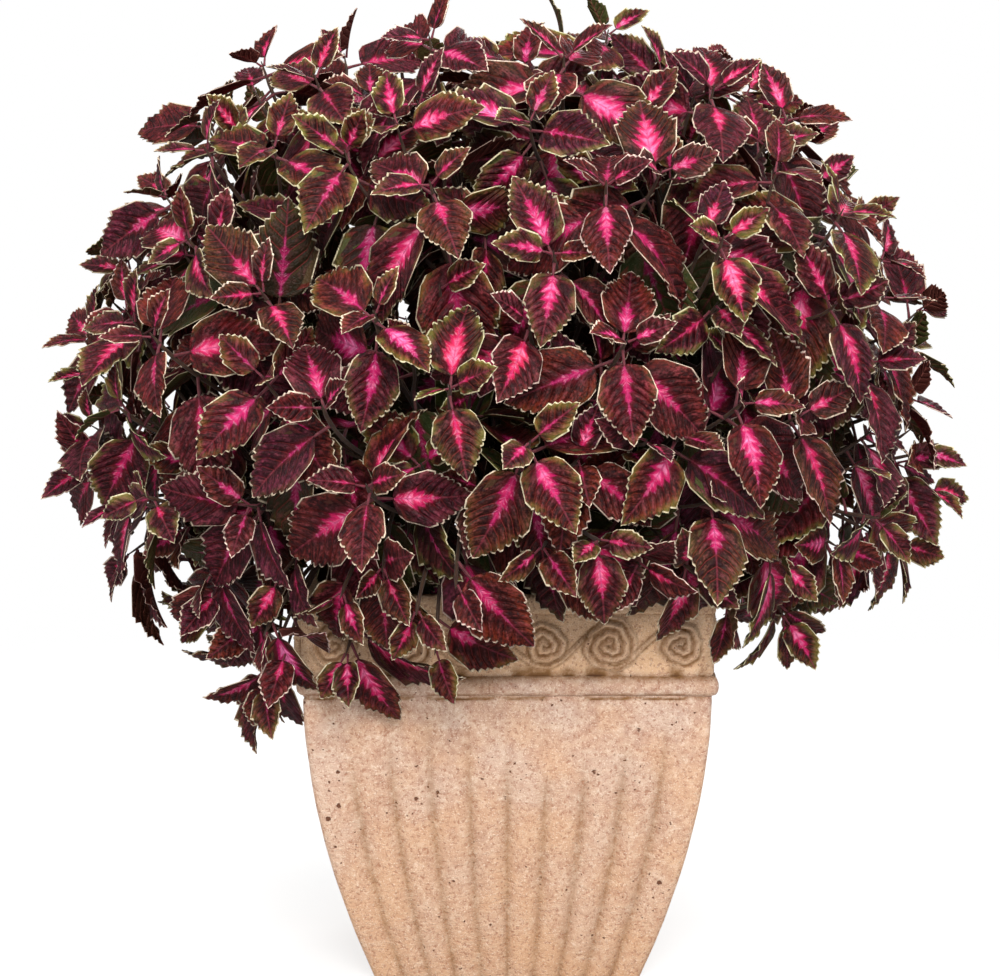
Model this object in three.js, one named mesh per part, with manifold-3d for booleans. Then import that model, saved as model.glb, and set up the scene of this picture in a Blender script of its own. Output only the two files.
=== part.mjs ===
// A coleus in a square terracotta planter, in millimetres, +Z up. The origin is on the floor, under the
// middle of the planter. The plant is leafy stems that stand in holes in the soil: each one is a square
// stem, as all the mint family has, with leaves in opposite pairs that turn a quarter round at each node.
import * as THREE from "three";
import { mergeVertices } from "three/addons/utils/BufferGeometryUtils.js";
import Module from "manifold-3d";

const wasm = await Module();
wasm.setup();

// ---- Driving dimensions ----

// The planter: a fluted body that swells upward, a bead, a frieze of rosettes and a plain lip.
const POT_HEIGHT = 330;
const LIP_HALF = 168; // middle of the planter to a flat side of the lip
const LIP_HEIGHT = 14;
const FRIEZE_HEIGHT = 51;
const FRIEZE_RECESS = 1.2;
const BEAD_HEIGHT = 16;
const BEAD_PROUD = 2.2; // of the lip
const BODY_TOP_HALF = 165.3;
const BASE_HALF = 110;
const BODY_SWELL = 1.8; // how sharply the sides curve in toward the base
const WALL = 16;
const FLOOR = 20;
const CORNER_RADIUS = 7;
const CORNER_STEPS = 2;
const DRAIN_RADIUS = 11;
const DRAIN_OFFSET = 45; // four drain holes, each this far from both middle lines

// The flutes: V-shaped valleys between flat reeds, fading out below the bead.
const VALLEYS_EACH_SIDE = 4; // of the middle one, on each face
const VALLEY_SPACING = 0.195; // as a share of the body's half width
const VALLEY_HALF_WIDTH = 0.052;
const VALLEY_DEPTH = 4.5;
const FLUTES_FADE_FROM = 120; // height where they are at full depth
const BODY_LEVELS = [0, 55, 120, 185, 232];

// The rosettes: six on each face, large and small in turn, alike on both sides of the middle.
const ROSETTES = [
  { across: 0.18, radius: 17 },
  { across: 0.48, radius: 22 },
  { across: 0.81, radius: 18 },
]; // across is a share of LIP_HALF
const ROSETTE_SIDES = 8;
const ROSETTE_PROUD = 4;

// The soil fills the planter to a little below the lip.
const SOIL_TOP = 308;
const GAP = 0.3; // between solids that touch

// The crown of leaves is close to an ellipsoid. The stems' tips lie this far inside it.
const CROWN_CENTRE = new THREE.Vector3(-3, 0, 476);
const CROWN_HALF_WIDTH = 368;
const CROWN_ABOVE = 336;
const CROWN_BELOW = 320;
const CROWN_FULLNESS = 2.6; // of its upper half; 2 is an ellipsoid, and more fills out the shoulders
const TIP_INSET = 26;
const INSET_SPREAD = 10;

// The front of the crown is its best side, and its shoots are placed one by one, as someone sees them who
// stands at EYE. Each is [across, up, turn]: where it shows on the upright plane through the planter's
// middle, and how many degrees its leaf pairs are turned.
const EYE = new THREE.Vector3(-6, -2586, 672);
const FRONT_SHOOTS = [
  [48, 769, 0], [-66, 784, 45], [-163, 751, 30], [-257, 691, 0], [-273, 615, 20], [175, 742, 20],
  [285, 638, 0], [322, 567, 0], [184, 616, 40], [84, 662, 0], [-66, 662, 30], [103, 528, 0],
  [-158, 471, 0], [-113, 552, 45], [-333, 471, 0], [-312, 394, 0], [-49, 488, 0], [20, 441, 45],
  [203, 475, 0], [346, 480, 20], [319, 374, 0], [161, 325, 45], [-121, 404, 0], [-44, 313, 45],
  [-143, 305, 0], [-209, 272, 30], [-304, 533, 0], [238, 334, 0], [80, 355, 20], [-258, 321, 20],
  [-78, 290, 40],
];

// The sides and back are filled by a spiral of shoots, evenly spread over the crown.
const SPIRAL_COUNT = 50;
const TOP_RISE = 0.985; // sine of the highest tip's elevation, seen from the crown's centre
const LOW_RISE = -0.66;
const SPIRAL_FROM = -0.12; // the spiral keeps behind this share of the crown's depth
const TIP_SPACING = 84; // from a shoot of the front

// The stems.
const ROOT_SPREAD = 118; // the outermost stem's distance from the middle, at the soil
const ROOT_SPACING = 13;
const ROOT_DEPTH = 34;
const STEM_HALF = 2.6; // half the stem's width at the soil
const STEM_TIP_HALF = 1.3;
const RIM_CLEARANCE = 40; // how far past the lip a low shoot's tip stands

// The leaf pairs, from the tip down: how far below the tip, the blade's length, the angle from the stem,
// how far the blade bends over along its length, and the margin points on each side.
const PAIRS = [
  { below: 3, blade: 36, spread: 36, arch: 22, margin: 4 },
  { below: 12, blade: 62, spread: 60, arch: 34, margin: 5 },
  { below: 28, blade: 84, spread: 76, arch: 44, margin: 5 },
  { below: 56, blade: 96, spread: 84, arch: 50, margin: 6 },
];
const BLADE_WIDTH = 0.73; // of its length
const STALK = 0.2; // the stalk's length, of the blade's
const STALK_HALF = 1.9;
const BLADE_THICKNESS = 2.2; // at the midrib; it thins to nothing at the margin
const DROOP_HIGH = 0.55; // how far a long blade sinks below its heading, high in the crown
const DROOP_LOW = 1.1; // and low in it
const OUTER_DROOP = 0.7; // how much more the outer leaf of a high pair sinks, and the inner one less
const SIDE_LIGHT = 0.6; // how far the leaves turn from the sky to the level light around them
const DARK_BEHIND = 160; // the level light comes from all round a point this far behind the middle
const FOLD = 14; // degrees that each half stands up from flat
const LOBE_DEPTH = 0.2; // how far the notches cut in, of the half width

// Leaves keep clear of each other by claiming cells of space.
const CELL = 6;
const TRIES = 14;

const GOLDEN_ANGLE = Math.PI * (3 - Math.sqrt(5));
const RIGHT_ANGLE = Math.PI / 2;
const UP = new THREE.Vector3(0, 0, 1);
const { clamp, degToRad, lerp, smoothstep } = THREE.MathUtils;

// ---- Meshes and solids ----

// Collects points and triangles, and turns them into a geometry or a manifold solid.
class Skin {
  points = [];
  faces = [];

  point(p) {
    this.points.push(p.x, p.y, p.z);
    return this.points.length / 3 - 1;
  }

  face(a, b, c) {
    this.faces.push(a, b, c);
  }

  geometry() {
    const made = new THREE.BufferGeometry();
    made.setAttribute("position", new THREE.Float32BufferAttribute(this.points, 3));
    made.setIndex(this.faces);
    return made;
  }
}

// A closed three.js geometry as a manifold solid.
function solidOf(geometry) {
  const bare = geometry.clone();
  bare.deleteAttribute("normal");
  bare.deleteAttribute("uv");
  const merged = mergeVertices(bare, 1e-4);
  const mesh = new wasm.Mesh({
    numProp: 3,
    vertProperties: merged.attributes.position.array,
    triVerts: new Uint32Array(merged.index.array),
  });
  return new wasm.Manifold(mesh);
}

// A manifold solid as a three.js geometry.
function geometryOf(solid) {
  const mesh = solid.getMesh();
  const made = new THREE.BufferGeometry();
  made.setAttribute("position", new THREE.BufferAttribute(mesh.vertProperties, 3));
  made.setIndex(new THREE.BufferAttribute(mesh.triVerts, 1));
  return made;
}

// Skins a stack of level rings, all with the same number of points, turning left seen from above.
function stack(rings) {
  const skin = new Skin();
  const rows = rings.map((ring) => ring.map((p) => skin.point(p)));
  const size = rows[0].length;
  for (let level = 0; level + 1 < rows.length; level++) {
    for (let i = 0; i < size; i++) {
      const next = (i + 1) % size;
      const [low, high] = [rows[level], rows[level + 1]];
      skin.face(low[i], low[next], high[next]);
      skin.face(low[i], high[next], high[i]);
    }
  }
  const cap = (ring, row, flip) => {
    const middle = new THREE.Vector3();
    ring.forEach((p) => middle.addScaledVector(p, 1 / size));
    const hub = skin.point(middle);
    row.forEach((corner, i) => {
      const next = row[(i + 1) % size];
      if (flip) skin.face(hub, next, corner);
      else skin.face(hub, corner, next);
    });
  };
  cap(rings[0], rows[0], true);
  cap(rings.at(-1), rows.at(-1), false);
  return skin.geometry();
}

// ---- Planter ----

const BEAD_BOTTOM = POT_HEIGHT - LIP_HEIGHT - FRIEZE_HEIGHT - BEAD_HEIGHT;

// The body's half width at a height: upright under the bead, leaning in more and more toward the base.
function bodyHalf(z) {
  const fromTop = 1 - Math.min(z, BEAD_BOTTOM) / BEAD_BOTTOM;
  return BODY_TOP_HALF - (BODY_TOP_HALF - BASE_HALF) * Math.pow(fromTop, BODY_SWELL);
}

// A level square ring. `face` lists [along, in] for one face, both as lengths, and each corner is rounded.
function squareRing(half, z, face = []) {
  const ring = [];
  for (let side = 0; side < 4; side++) {
    const turn = side * RIGHT_ANGLE;
    const place = (out, along) =>
      ring.push(new THREE.Vector3(out, along, z).applyAxisAngle(UP, turn));
    face.forEach(([along, inward]) => place(half - inward, along));
    for (let step = 0; step <= CORNER_STEPS; step++) {
      const angle = (step / CORNER_STEPS) * RIGHT_ANGLE;
      const centre = half - CORNER_RADIUS;
      place(centre + CORNER_RADIUS * Math.cos(angle), centre + CORNER_RADIUS * Math.sin(angle));
    }
  }
  return ring;
}

function flutedRing(z, height = z) {
  const half = bodyHalf(height);
  const depth = VALLEY_DEPTH * (1 - smoothstep(height, FLUTES_FADE_FROM, BEAD_BOTTOM));
  const face = [];
  for (let valley = -VALLEYS_EACH_SIDE; valley <= VALLEYS_EACH_SIDE; valley++) {
    const middle = valley * VALLEY_SPACING * half;
    const edge = VALLEY_HALF_WIDTH * half;
    face.push([middle - edge, 0], [middle, depth], [middle + edge, 0]);
  }
  return squareRing(half, z, face);
}

// The bead, frieze and lip, from the bead's underside up: [height, half width].
function bandProfile() {
  const friezeBottom = BEAD_BOTTOM + BEAD_HEIGHT;
  const lipBottom = friezeBottom + FRIEZE_HEIGHT;
  const frieze = LIP_HALF - FRIEZE_RECESS;
  const profile = [];
  const beadSteps = 4;
  for (let step = 0; step <= beadSteps; step++) {
    const angle = (step / beadSteps - 0.5) * Math.PI;
    const z = BEAD_BOTTOM + (BEAD_HEIGHT / 2) * (1 + Math.sin(angle));
    profile.push([z, frieze + (BEAD_PROUD + FRIEZE_RECESS) * Math.cos(angle)]);
  }
  profile.push([lipBottom, frieze], [lipBottom + 1.5, LIP_HALF], [POT_HEIGHT - 2, LIP_HALF]);
  profile.push([POT_HEIGHT, LIP_HALF - 2]);
  return profile;
}

// A raised disc with a pointed middle, sunk into the frieze and facing out along +X.
function rosette(across, z, radius) {
  const sunk = 2;
  const sections = [
    [-sunk, radius],
    [ROSETTE_PROUD, radius * 0.7],
  ];
  const rings = sections.map(([out, size]) => {
    const ring = [];
    for (let i = 0; i < ROSETTE_SIDES; i++) {
      const angle = ((i + 0.5) / ROSETTE_SIDES) * 2 * Math.PI;
      const along = across + size * Math.cos(angle);
      ring.push(new THREE.Vector3(LIP_HALF - FRIEZE_RECESS + out, along, z + size * Math.sin(angle)));
    }
    return ring;
  });
  return stack(rings);
}

// The planter's inside, from the floor to above the lip, shrunk by `gap` on every side.
function insideRings(topZ, gap) {
  const levels = [FLOOR, 100, 190, BEAD_BOTTOM, topZ];
  return levels.map((z) => squareRing(bodyHalf(z) - WALL - gap, z === FLOOR ? z + gap : z));
}

function makePlanter() {
  const levels = [...BODY_LEVELS, BEAD_BOTTOM];
  const rings = levels.map((z) => flutedRing(z));
  rings.push(flutedRing(BEAD_BOTTOM + BEAD_HEIGHT / 2, BEAD_BOTTOM));
  let pot = solidOf(stack(rings));
  pot = pot.add(solidOf(stack(bandProfile().map(([z, half]) => squareRing(half, z)))));
  const middle = POT_HEIGHT - LIP_HEIGHT - FRIEZE_HEIGHT / 2;
  for (let side = 0; side < 4; side++) {
    for (const { across, radius } of ROSETTES) {
      for (const hand of [-1, 1]) {
        const boss = rosette(hand * across * LIP_HALF, middle, radius);
        pot = pot.add(solidOf(boss.rotateZ(side * RIGHT_ANGLE)));
      }
    }
  }
  pot = pot.subtract(solidOf(stack(insideRings(POT_HEIGHT + 5, 0))));
  const drain = new THREE.CylinderGeometry(DRAIN_RADIUS, DRAIN_RADIUS, 3 * FLOOR, 8);
  drain.rotateX(RIGHT_ANGLE);
  for (const x of [-DRAIN_OFFSET, DRAIN_OFFSET]) {
    for (const y of [-DRAIN_OFFSET, DRAIN_OFFSET]) {
      pot = pot.subtract(solidOf(drain.clone().translate(x, y, 0)));
    }
  }
  return geometryOf(pot);
}

// ---- Growth: where each stem and leaf goes ----

// A seeded stream of numbers, the same in any language (Park and Miller's generator).
function drawsFrom(seed) {
  let state = seed;
  const draw = (low, high) => {
    state = (state * 16807) % 2147483647;
    return lerp(low, high, state / 2147483647);
  };
  draw(0, 1);
  draw(0, 1);
  return draw;
}

// How far from the middle the planter's lip reaches in a direction, corners rounded off.
function lipReach(turn) {
  const c = Math.abs(Math.cos(turn));
  const s = Math.abs(Math.sin(turn));
  return Math.min(LIP_HALF / Math.max(c, s), LIP_HALF * 1.36);
}

// The cells of space that solids already stand in.
const claimed = new Set();
const cellKey = (x, y, z) => (x * 2048 + y) * 2048 + z;
const cellOf = (v) => Math.floor(v / CELL) + 1024;

function claim(p) {
  const [x, y, z] = [cellOf(p.x), cellOf(p.y), cellOf(p.z)];
  for (let i = -1; i <= 1; i++)
    for (let j = -1; j <= 1; j++)
      for (let k = -1; k <= 1; k++) claimed.add(cellKey(x + i, y + j, z + k));
}

const isFree = (p) => !claimed.has(cellKey(cellOf(p.x), cellOf(p.y), cellOf(p.z)));

function claimPlanter() {
  const step = CELL;
  for (let z = BEAD_BOTTOM - 60; z <= POT_HEIGHT; z += step) {
    const half = z > BEAD_BOTTOM ? LIP_HALF + BEAD_PROUD : bodyHalf(z);
    for (let along = -half; along <= half; along += step) {
      claim(new THREE.Vector3(half, along, z));
      claim(new THREE.Vector3(-half, along, z));
      claim(new THREE.Vector3(along, half, z));
      claim(new THREE.Vector3(along, -half, z));
    }
  }
}

// The crown's half size across and upward, with the tips' inset taken off.
const tipHalfWidth = (inset) => CROWN_HALF_WIDTH - inset;
const tipHalfHeight = (up, inset) => (up > 0 ? CROWN_ABOVE : CROWN_BELOW) - inset;

// Follows the line of sight through a point of the middle plane to the front of the crown.
function frontTip(across, up, inset) {
  const seen = new THREE.Vector3(across, 0, up);
  const tip = seen.clone();
  for (let round = 0; round < 12; round++) {
    const wide = (tip.x - CROWN_CENTRE.x) / tipHalfWidth(inset);
    const high = (tip.z - CROWN_CENTRE.z) / tipHalfHeight(tip.z - CROWN_CENTRE.z, inset);
    const fullness = high > 0 ? CROWN_FULLNESS : 2;
    const level = Math.pow(Math.max(1 - Math.pow(Math.abs(high), fullness), 0), 1 / fullness);
    const depth = tipHalfWidth(inset) * Math.sqrt(Math.max(level * level - wide * wide, 0));
    tip.lerpVectors(seen, EYE, depth / -EYE.y);
  }
  return tip;
}

// Every shoot's tip, with its own stream of numbers: first the front, then the spiral.
function placeTips() {
  const shoots = [];
  const add = (tipOf, roll) => {
    const draw = drawsFrom(7919 * (shoots.length + 1) + 104729);
    const tip = tipOf(TIP_INSET + draw(-INSET_SPREAD, INSET_SPREAD));
    shoots.push({ draw, tip, roll: degToRad(roll) + draw(-0.2, 0.2) });
  };
  for (const [across, up, roll] of FRONT_SHOOTS) add((inset) => frontTip(across, up, inset), roll);
  const front = shoots.slice();
  for (let index = 0; index < SPIRAL_COUNT; index++) {
    const turn = index * GOLDEN_ANGLE;
    const rise = lerp(TOP_RISE, LOW_RISE, (index + 0.5) / SPIRAL_COUNT);
    const level = Math.sqrt(1 - rise * rise);
    if (level * Math.sin(turn) < SPIRAL_FROM) continue;
    const fullness = rise > 0 ? CROWN_FULLNESS : 2;
    const swell = Math.pow(Math.pow(level, fullness) + Math.pow(Math.abs(rise), fullness), -1 / fullness);
    const tipOf = (inset) => {
      const reach = tipHalfWidth(inset) * level * swell;
      const high = tipHalfHeight(rise, inset) * rise * swell;
      return new THREE.Vector3(reach * Math.cos(turn), reach * Math.sin(turn), high).add(CROWN_CENTRE);
    };
    if (front.every((other) => other.tip.distanceTo(tipOf(TIP_INSET)) > TIP_SPACING)) {
      add(tipOf, 57 * index);
    }
  }
  return shoots;
}

// A stem: a curve from the soil to its tip. It stands up straight at first and points out of the crown at
// its tip, turned up toward the light. The lowest ones lean over the lip and hang.
function growStem({ draw, tip, roll }, roots) {
  const across = tip.clone().sub(CROWN_CENTRE);
  across.x /= CROWN_HALF_WIDTH;
  across.y /= CROWN_HALF_WIDTH;
  across.z /= across.z > 0 ? CROWN_ABOVE : CROWN_BELOW;
  const outward = across.normalize();
  const rise = outward.z;
  const turn = Math.atan2(tip.y, tip.x);
  const hang = smoothstep(-rise, 0.1, 0.5);
  if (tip.z < POT_HEIGHT + 90) {
    const flat = Math.hypot(tip.x, tip.y);
    const wanted = Math.max(flat, lipReach(turn) + RIM_CLEARANCE);
    tip.x *= wanted / flat;
    tip.y *= wanted / flat;
  }
  const share = clamp((TOP_RISE - rise) / (TOP_RISE - LOW_RISE), 0.004, 1);
  const root = new THREE.Vector3();
  for (let attempt = 0; attempt < 60; attempt++) {
    const rootReach = ROOT_SPREAD * Math.sqrt(share) - 0.8 * attempt * Math.sqrt(share);
    const rootTurn = turn + 0.03 * attempt * (attempt % 2 ? 1 : -1);
    root.set(rootReach * Math.cos(rootTurn), rootReach * Math.sin(rootTurn), SOIL_TOP);
    if (roots.every((other) => other.distanceTo(root) > ROOT_SPACING)) break;
  }
  roots.push(root);
  const heading = outward.clone().addScaledVector(UP, lerp(0.75, -0.4, hang));
  heading.x += draw(-0.2, 0.2);
  heading.y += draw(-0.2, 0.2);
  heading.normalize();
  const span = root.distanceTo(tip);
  const path = [
    root,
    root.clone().addScaledVector(UP, span * lerp(0.42, 0.8, hang)),
    tip.clone().addScaledVector(heading, -span * lerp(0.34, 0.42, hang)),
    tip,
  ];
  return { draw, path, outward, hang, roll, leaves: [] };
}

// A point of a stem's curve, and the way the curve runs there.
function pathPoint([a, b, c, d], t) {
  const s = 1 - t;
  return new THREE.Vector3()
    .addScaledVector(a, s * s * s)
    .addScaledVector(b, 3 * s * s * t)
    .addScaledVector(c, 3 * s * t * t)
    .addScaledVector(d, t * t * t);
}

function pathWay([a, b, c, d], t) {
  const s = 1 - t;
  return new THREE.Vector3()
    .addScaledVector(a, -s * s)
    .addScaledVector(b, s * s - 2 * s * t)
    .addScaledVector(c, 2 * s * t - t * t)
    .addScaledVector(d, t * t)
    .normalize();
}

// Points along a stem's path with the distance that is left to the tip.
function pathPoints(path, count = 48) {
  const points = [];
  for (let i = 0; i <= count; i++) points.push({ t: i / count, at: pathPoint(path, i / count) });
  points[count].left = 0;
  for (let i = count - 1; i >= 0; i--) {
    points[i].left = points[i + 1].left + points[i].at.distanceTo(points[i + 1].at);
  }
  return points;
}

// The curve parameter at a distance below the tip.
function whereBelowTip(points, below) {
  let i = points.length - 1;
  while (i > 0 && points[i - 1].left < below) i--;
  const [a, b] = [points[Math.max(i - 1, 0)], points[i]];
  const part = (below - b.left) / Math.max(a.left - b.left, 1e-9);
  return lerp(b.t, a.t, clamp(part, 0, 1));
}

// Square cross-section frames along the stem, each turned as little as possible from the one before.
function stemFrames(stem, stations) {
  const frames = [];
  let side = new THREE.Vector3(Math.cos(stem.roll), Math.sin(stem.roll), 0);
  for (const t of stations) {
    const along = t <= 0 ? UP.clone() : pathWay(stem.path, t);
    side = side.clone().addScaledVector(along, -side.dot(along)).normalize();
    const across = along.clone().cross(side);
    frames.push({ t, at: pathPoint(stem.path, Math.max(t, 0)), along, side, across });
  }
  return frames;
}

// A leaf from where it leaves the stem: a stalk and blade on one circular arc that bends over backward.
class Leaf {
  constructor(root, heading, face, blade, arch) {
    this.root = root;
    this.heading = heading;
    this.face = face; // the way the upper side looks, square to the heading
    this.across = face.clone().cross(heading);
    this.blade = blade;
    this.stalk = blade * STALK;
    this.arch = arch;
  }

  // A point at `along` the blade (0 at the stalk's end, 1 at the tip) and `wide` of the way to the margin.
  at(along, wide, halfWidth) {
    const total = this.stalk + this.blade;
    const angle = (this.arch * (this.stalk + this.blade * along)) / total;
    const radius = total / this.arch;
    const lift = degToRad(FOLD);
    const side = wide * halfWidth;
    return this.root
      .clone()
      .addScaledVector(this.heading, radius * Math.sin(angle))
      .addScaledVector(this.face, radius * (Math.cos(angle) - 1))
      .addScaledVector(this.across, side * Math.cos(lift))
      .addScaledVector(this.faceAt(angle), Math.abs(side) * Math.sin(lift));
  }

  faceAt(angle) {
    return this.face
      .clone()
      .multiplyScalar(Math.cos(angle))
      .addScaledVector(this.heading, Math.sin(angle));
  }

  // Half the blade's width: broad and round near the stalk, drawn out to a point at the tip.
  halfWidth(along) {
    const widest = Math.sqrt(1 / 3) * (2 / 3);
    return (this.blade * BLADE_WIDTH * 0.5 * Math.sqrt(along) * (1 - along)) / widest;
  }

  // Points all over the stalk and blade, close enough together to find what it would cross.
  samples() {
    const found = [];
    const rows = Math.ceil((this.blade + this.stalk) / 5);
    for (let row = 1; row <= rows; row++) {
      const along = ((row / rows) * (this.blade + this.stalk) - this.stalk) / this.blade;
      const half = along > 0 ? this.halfWidth(Math.min(along, 0.97)) : 0;
      const columns = Math.ceil(half / 5);
      for (let column = -columns; column <= columns; column++) {
        found.push(this.at(along, columns ? column / columns : 0, half));
      }
    }
    return found;
  }
}

// Draws leaves for one side of a node until one is clear of everything, and claims its space.
function growLeaf(stem, pair, frame, sideIndex, turned) {
  const { draw, outward, hang } = stem;
  const quarter = turned * RIGHT_ANGLE + sideIndex * Math.PI;
  const out = frame.side
    .clone()
    .multiplyScalar(Math.cos(quarter))
    .addScaledVector(frame.across, Math.sin(quarter));
  const reach = lerp(STEM_HALF, STEM_TIP_HALF, frame.t);
  const root = frame.at.clone().addScaledVector(out, reach);
  const tip = stem.path[3];
  const level = new THREE.Vector3(tip.x, tip.y - DARK_BEHIND, 0).normalize();
  const light = outward.clone().multiplyScalar(0.7).addScaledVector(UP, lerp(0.45, 0.1, hang));
  light.addScaledVector(level, SIDE_LIGHT);
  const sinking = 1 + lerp(OUTER_DROOP, 0, hang) * out.dot(level);
  for (let attempt = 0; attempt < TRIES; attempt++) {
    const loose = 1 + attempt * 0.18;
    const spread = degToRad(pair.spread + draw(-9, 9) * loose);
    const twist = degToRad(draw(-12, 12) * loose);
    const heading = out
      .clone()
      .applyAxisAngle(frame.along, twist)
      .multiplyScalar(Math.sin(spread))
      .addScaledVector(frame.along, Math.cos(spread));
    const droop = (pair.blade / 88) * (lerp(DROOP_HIGH, DROOP_LOW, hang) + draw(-0.2, 0.2) * loose);
    heading.addScaledVector(UP, -droop * sinking).normalize();
    const face = frame.along.clone().multiplyScalar(lerp(0.3, 0.6, hang)).addScaledVector(light, 0.8);
    face.addScaledVector(heading, -face.dot(heading)).normalize();
    face.applyAxisAngle(heading, degToRad(draw(-24, 24) * loose));
    const shrink = attempt < TRIES / 2 ? 1 : 0.8;
    const blade = pair.blade * draw(0.88, 1.12) * shrink;
    const leaf = new Leaf(root, heading, face, blade, degToRad(pair.arch + draw(-14, 14)));
    const clearOfStem = leaf.samples().filter((p) => p.distanceTo(root) > 15);
    if (clearOfStem.every(isFree)) {
      leaf.samples().forEach(claim);
      return leaf;
    }
  }
  return null;
}

function growPlant() {
  claimPlanter();
  const roots = [];
  const stems = placeTips().map((shoot) => growStem(shoot, roots));
  for (const stem of stems) {
    stem.points = pathPoints(stem.path);
    stem.points.forEach((p) => claim(p.at));
  }
  const nodeT = (stem, pair) => whereBelowTip(stem.points, pair.below);
  for (const stem of stems) {
    const nodes = PAIRS.map((pair) => nodeT(stem, pair)).reverse();
    stem.frames = stemFrames(stem, [-1, 0, 0.3, 0.6, ...nodes]);
  }
  PAIRS.forEach((pair, number) => {
    for (const stem of stems) {
      const frame = stem.frames.at(-1 - number);
      for (const sideIndex of [0, 1]) {
        const leaf = growLeaf(stem, pair, frame, sideIndex, number % 2);
        const side = (number % 2) + 2 * sideIndex;
        if (leaf) stem.leaves.push({ leaf, pair, side, ring: stem.frames.length - 1 - number });
      }
    }
  });
  return stems;
}

// ---- Leafy stems ----

// The four corners of the stem at a frame.
function stemCorners(frame, half, drop) {
  const corners = [];
  for (let i = 0; i < 4; i++) {
    const angle = (i - 0.5) * RIGHT_ANGLE;
    corners.push(
      frame.at
        .clone()
        .addScaledVector(frame.side, half * Math.SQRT2 * Math.cos(angle))
        .addScaledVector(frame.across, half * Math.SQRT2 * Math.sin(angle))
        .addScaledVector(UP, -drop),
    );
  }
  return corners;
}

// Margin points of one half of a blade, from the stalk's end toward the tip: lobe, notch, lobe and so on.
function marginOf(leaf, count, hand) {
  const margin = [leaf.at(0, hand, STALK_HALF)];
  for (let i = 1; i < count; i++) {
    const along = lerp(0.16, 0.8, (i - 1) / (count - 2));
    const notch = i % 2 === 0 ? 1 - LOBE_DEPTH : 1;
    margin.push(leaf.at(along, hand * notch, leaf.halfWidth(along)));
  }
  return margin;
}

// Adds a leaf to the skin, growing out of the stem face between corners `left` and `right` of a node.
function addLeaf(skin, { leaf, pair }, left, right, keel) {
  const near = marginOf(leaf, pair.margin, -1).map((p) => skin.point(p));
  const far = marginOf(leaf, pair.margin, 1).map((p) => skin.point(p));
  const tip = skin.point(leaf.at(1, 0, 0));
  const ribAt = 0.4;
  const rib = leaf.at(ribAt, 0, 0);
  const ribFace = leaf.faceAt(leaf.arch * ((leaf.stalk + leaf.blade * ribAt) / (leaf.stalk + leaf.blade)));
  const top = skin.point(rib.clone().addScaledVector(ribFace, BLADE_THICKNESS * 0.2));
  const under = skin.point(rib.clone().addScaledVector(ribFace, -BLADE_THICKNESS * 0.8));
  const edge = [left, ...near, tip, ...far.reverse(), right];
  for (let i = 0; i + 1 < edge.length; i++) {
    skin.face(top, edge[i], edge[i + 1]);
    skin.face(under, edge[i + 1], edge[i]);
  }
  skin.face(top, right, left);
  skin.face(under, keel, right);
  skin.face(under, left, keel);
}

function makeLeafyStem(stem) {
  const skin = new Skin();
  const rows = [];
  stem.frames.forEach((frame, level) => {
    const half = lerp(STEM_HALF, STEM_TIP_HALF, clamp(frame.t, 0, 1));
    const corners = stemCorners(frame, half, level === 0 ? ROOT_DEPTH : 0);
    rows.push(corners.map((p) => skin.point(p)));
  });
  const bottom = rows[0];
  skin.face(bottom[0], bottom[2], bottom[1]);
  skin.face(bottom[0], bottom[3], bottom[2]);
  for (let level = 1; level < rows.length; level++) {
    const [low, high] = [rows[level - 1], rows[level]];
    for (let side = 0; side < 4; side++) {
      const next = (side + 1) % 4;
      const grown = stem.leaves.find((l) => l.ring === level && l.side === side);
      if (!grown) {
        skin.face(low[side], low[next], high[next]);
        skin.face(low[side], high[next], high[side]);
        continue;
      }
      const frame = stem.frames[level];
      const half = lerp(STEM_HALF, STEM_TIP_HALF, frame.t);
      const out = frame.side
        .clone()
        .multiplyScalar(Math.cos(side * RIGHT_ANGLE))
        .addScaledVector(frame.across, Math.sin(side * RIGHT_ANGLE));
      const keelAt = frame.at.clone().addScaledVector(out, half).addScaledVector(frame.along, -3);
      const keel = skin.point(keelAt);
      skin.face(low[side], low[next], keel);
      skin.face(low[next], high[next], keel);
      skin.face(low[side], keel, high[side]);
      addLeaf(skin, grown, high[side], high[next], keel);
    }
  }
  const last = stem.frames.at(-1);
  const apex = skin.point(last.at.clone().addScaledVector(last.along, 5));
  const top = rows.at(-1);
  for (let side = 0; side < 4; side++) skin.face(top[side], top[(side + 1) % 4], apex);
  return skin.geometry();
}

// ---- Soil ----

function makeSoil(stems) {
  const rings = insideRings(SOIL_TOP, GAP);
  let soil = solidOf(stack(rings));
  for (const stem of stems) {
    const frame = stem.frames[0];
    const half = STEM_HALF + GAP;
    const low = stemCorners(frame, half, ROOT_DEPTH + GAP);
    const high = stemCorners(frame, half, -20);
    soil = soil.subtract(solidOf(stack([low, high])));
  }
  return geometryOf(soil);
}

// ---- Assembly ----

const terracotta = new THREE.MeshStandardMaterial({ color: "#d8b08f", roughness: 0.9 });
const earth = new THREE.MeshStandardMaterial({ color: "#3a2a20", roughness: 1 });
const foliage = new THREE.MeshStandardMaterial({ color: "#6b2438", roughness: 0.6 });

const coleus = new THREE.Group();

function addNode(name, geometry, material) {
  const mesh = new THREE.Mesh(geometry, material);
  mesh.name = name;
  coleus.add(mesh);
}

const stems = growPlant();
addNode("planter", makePlanter(), terracotta);
addNode("soil", makeSoil(stems), earth);
stems.forEach((stem, index) => {
  addNode("leafy_stem_" + String(index + 1).padStart(2, "0"), makeLeafyStem(stem), foliage);
});

export default coleus;
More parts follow.
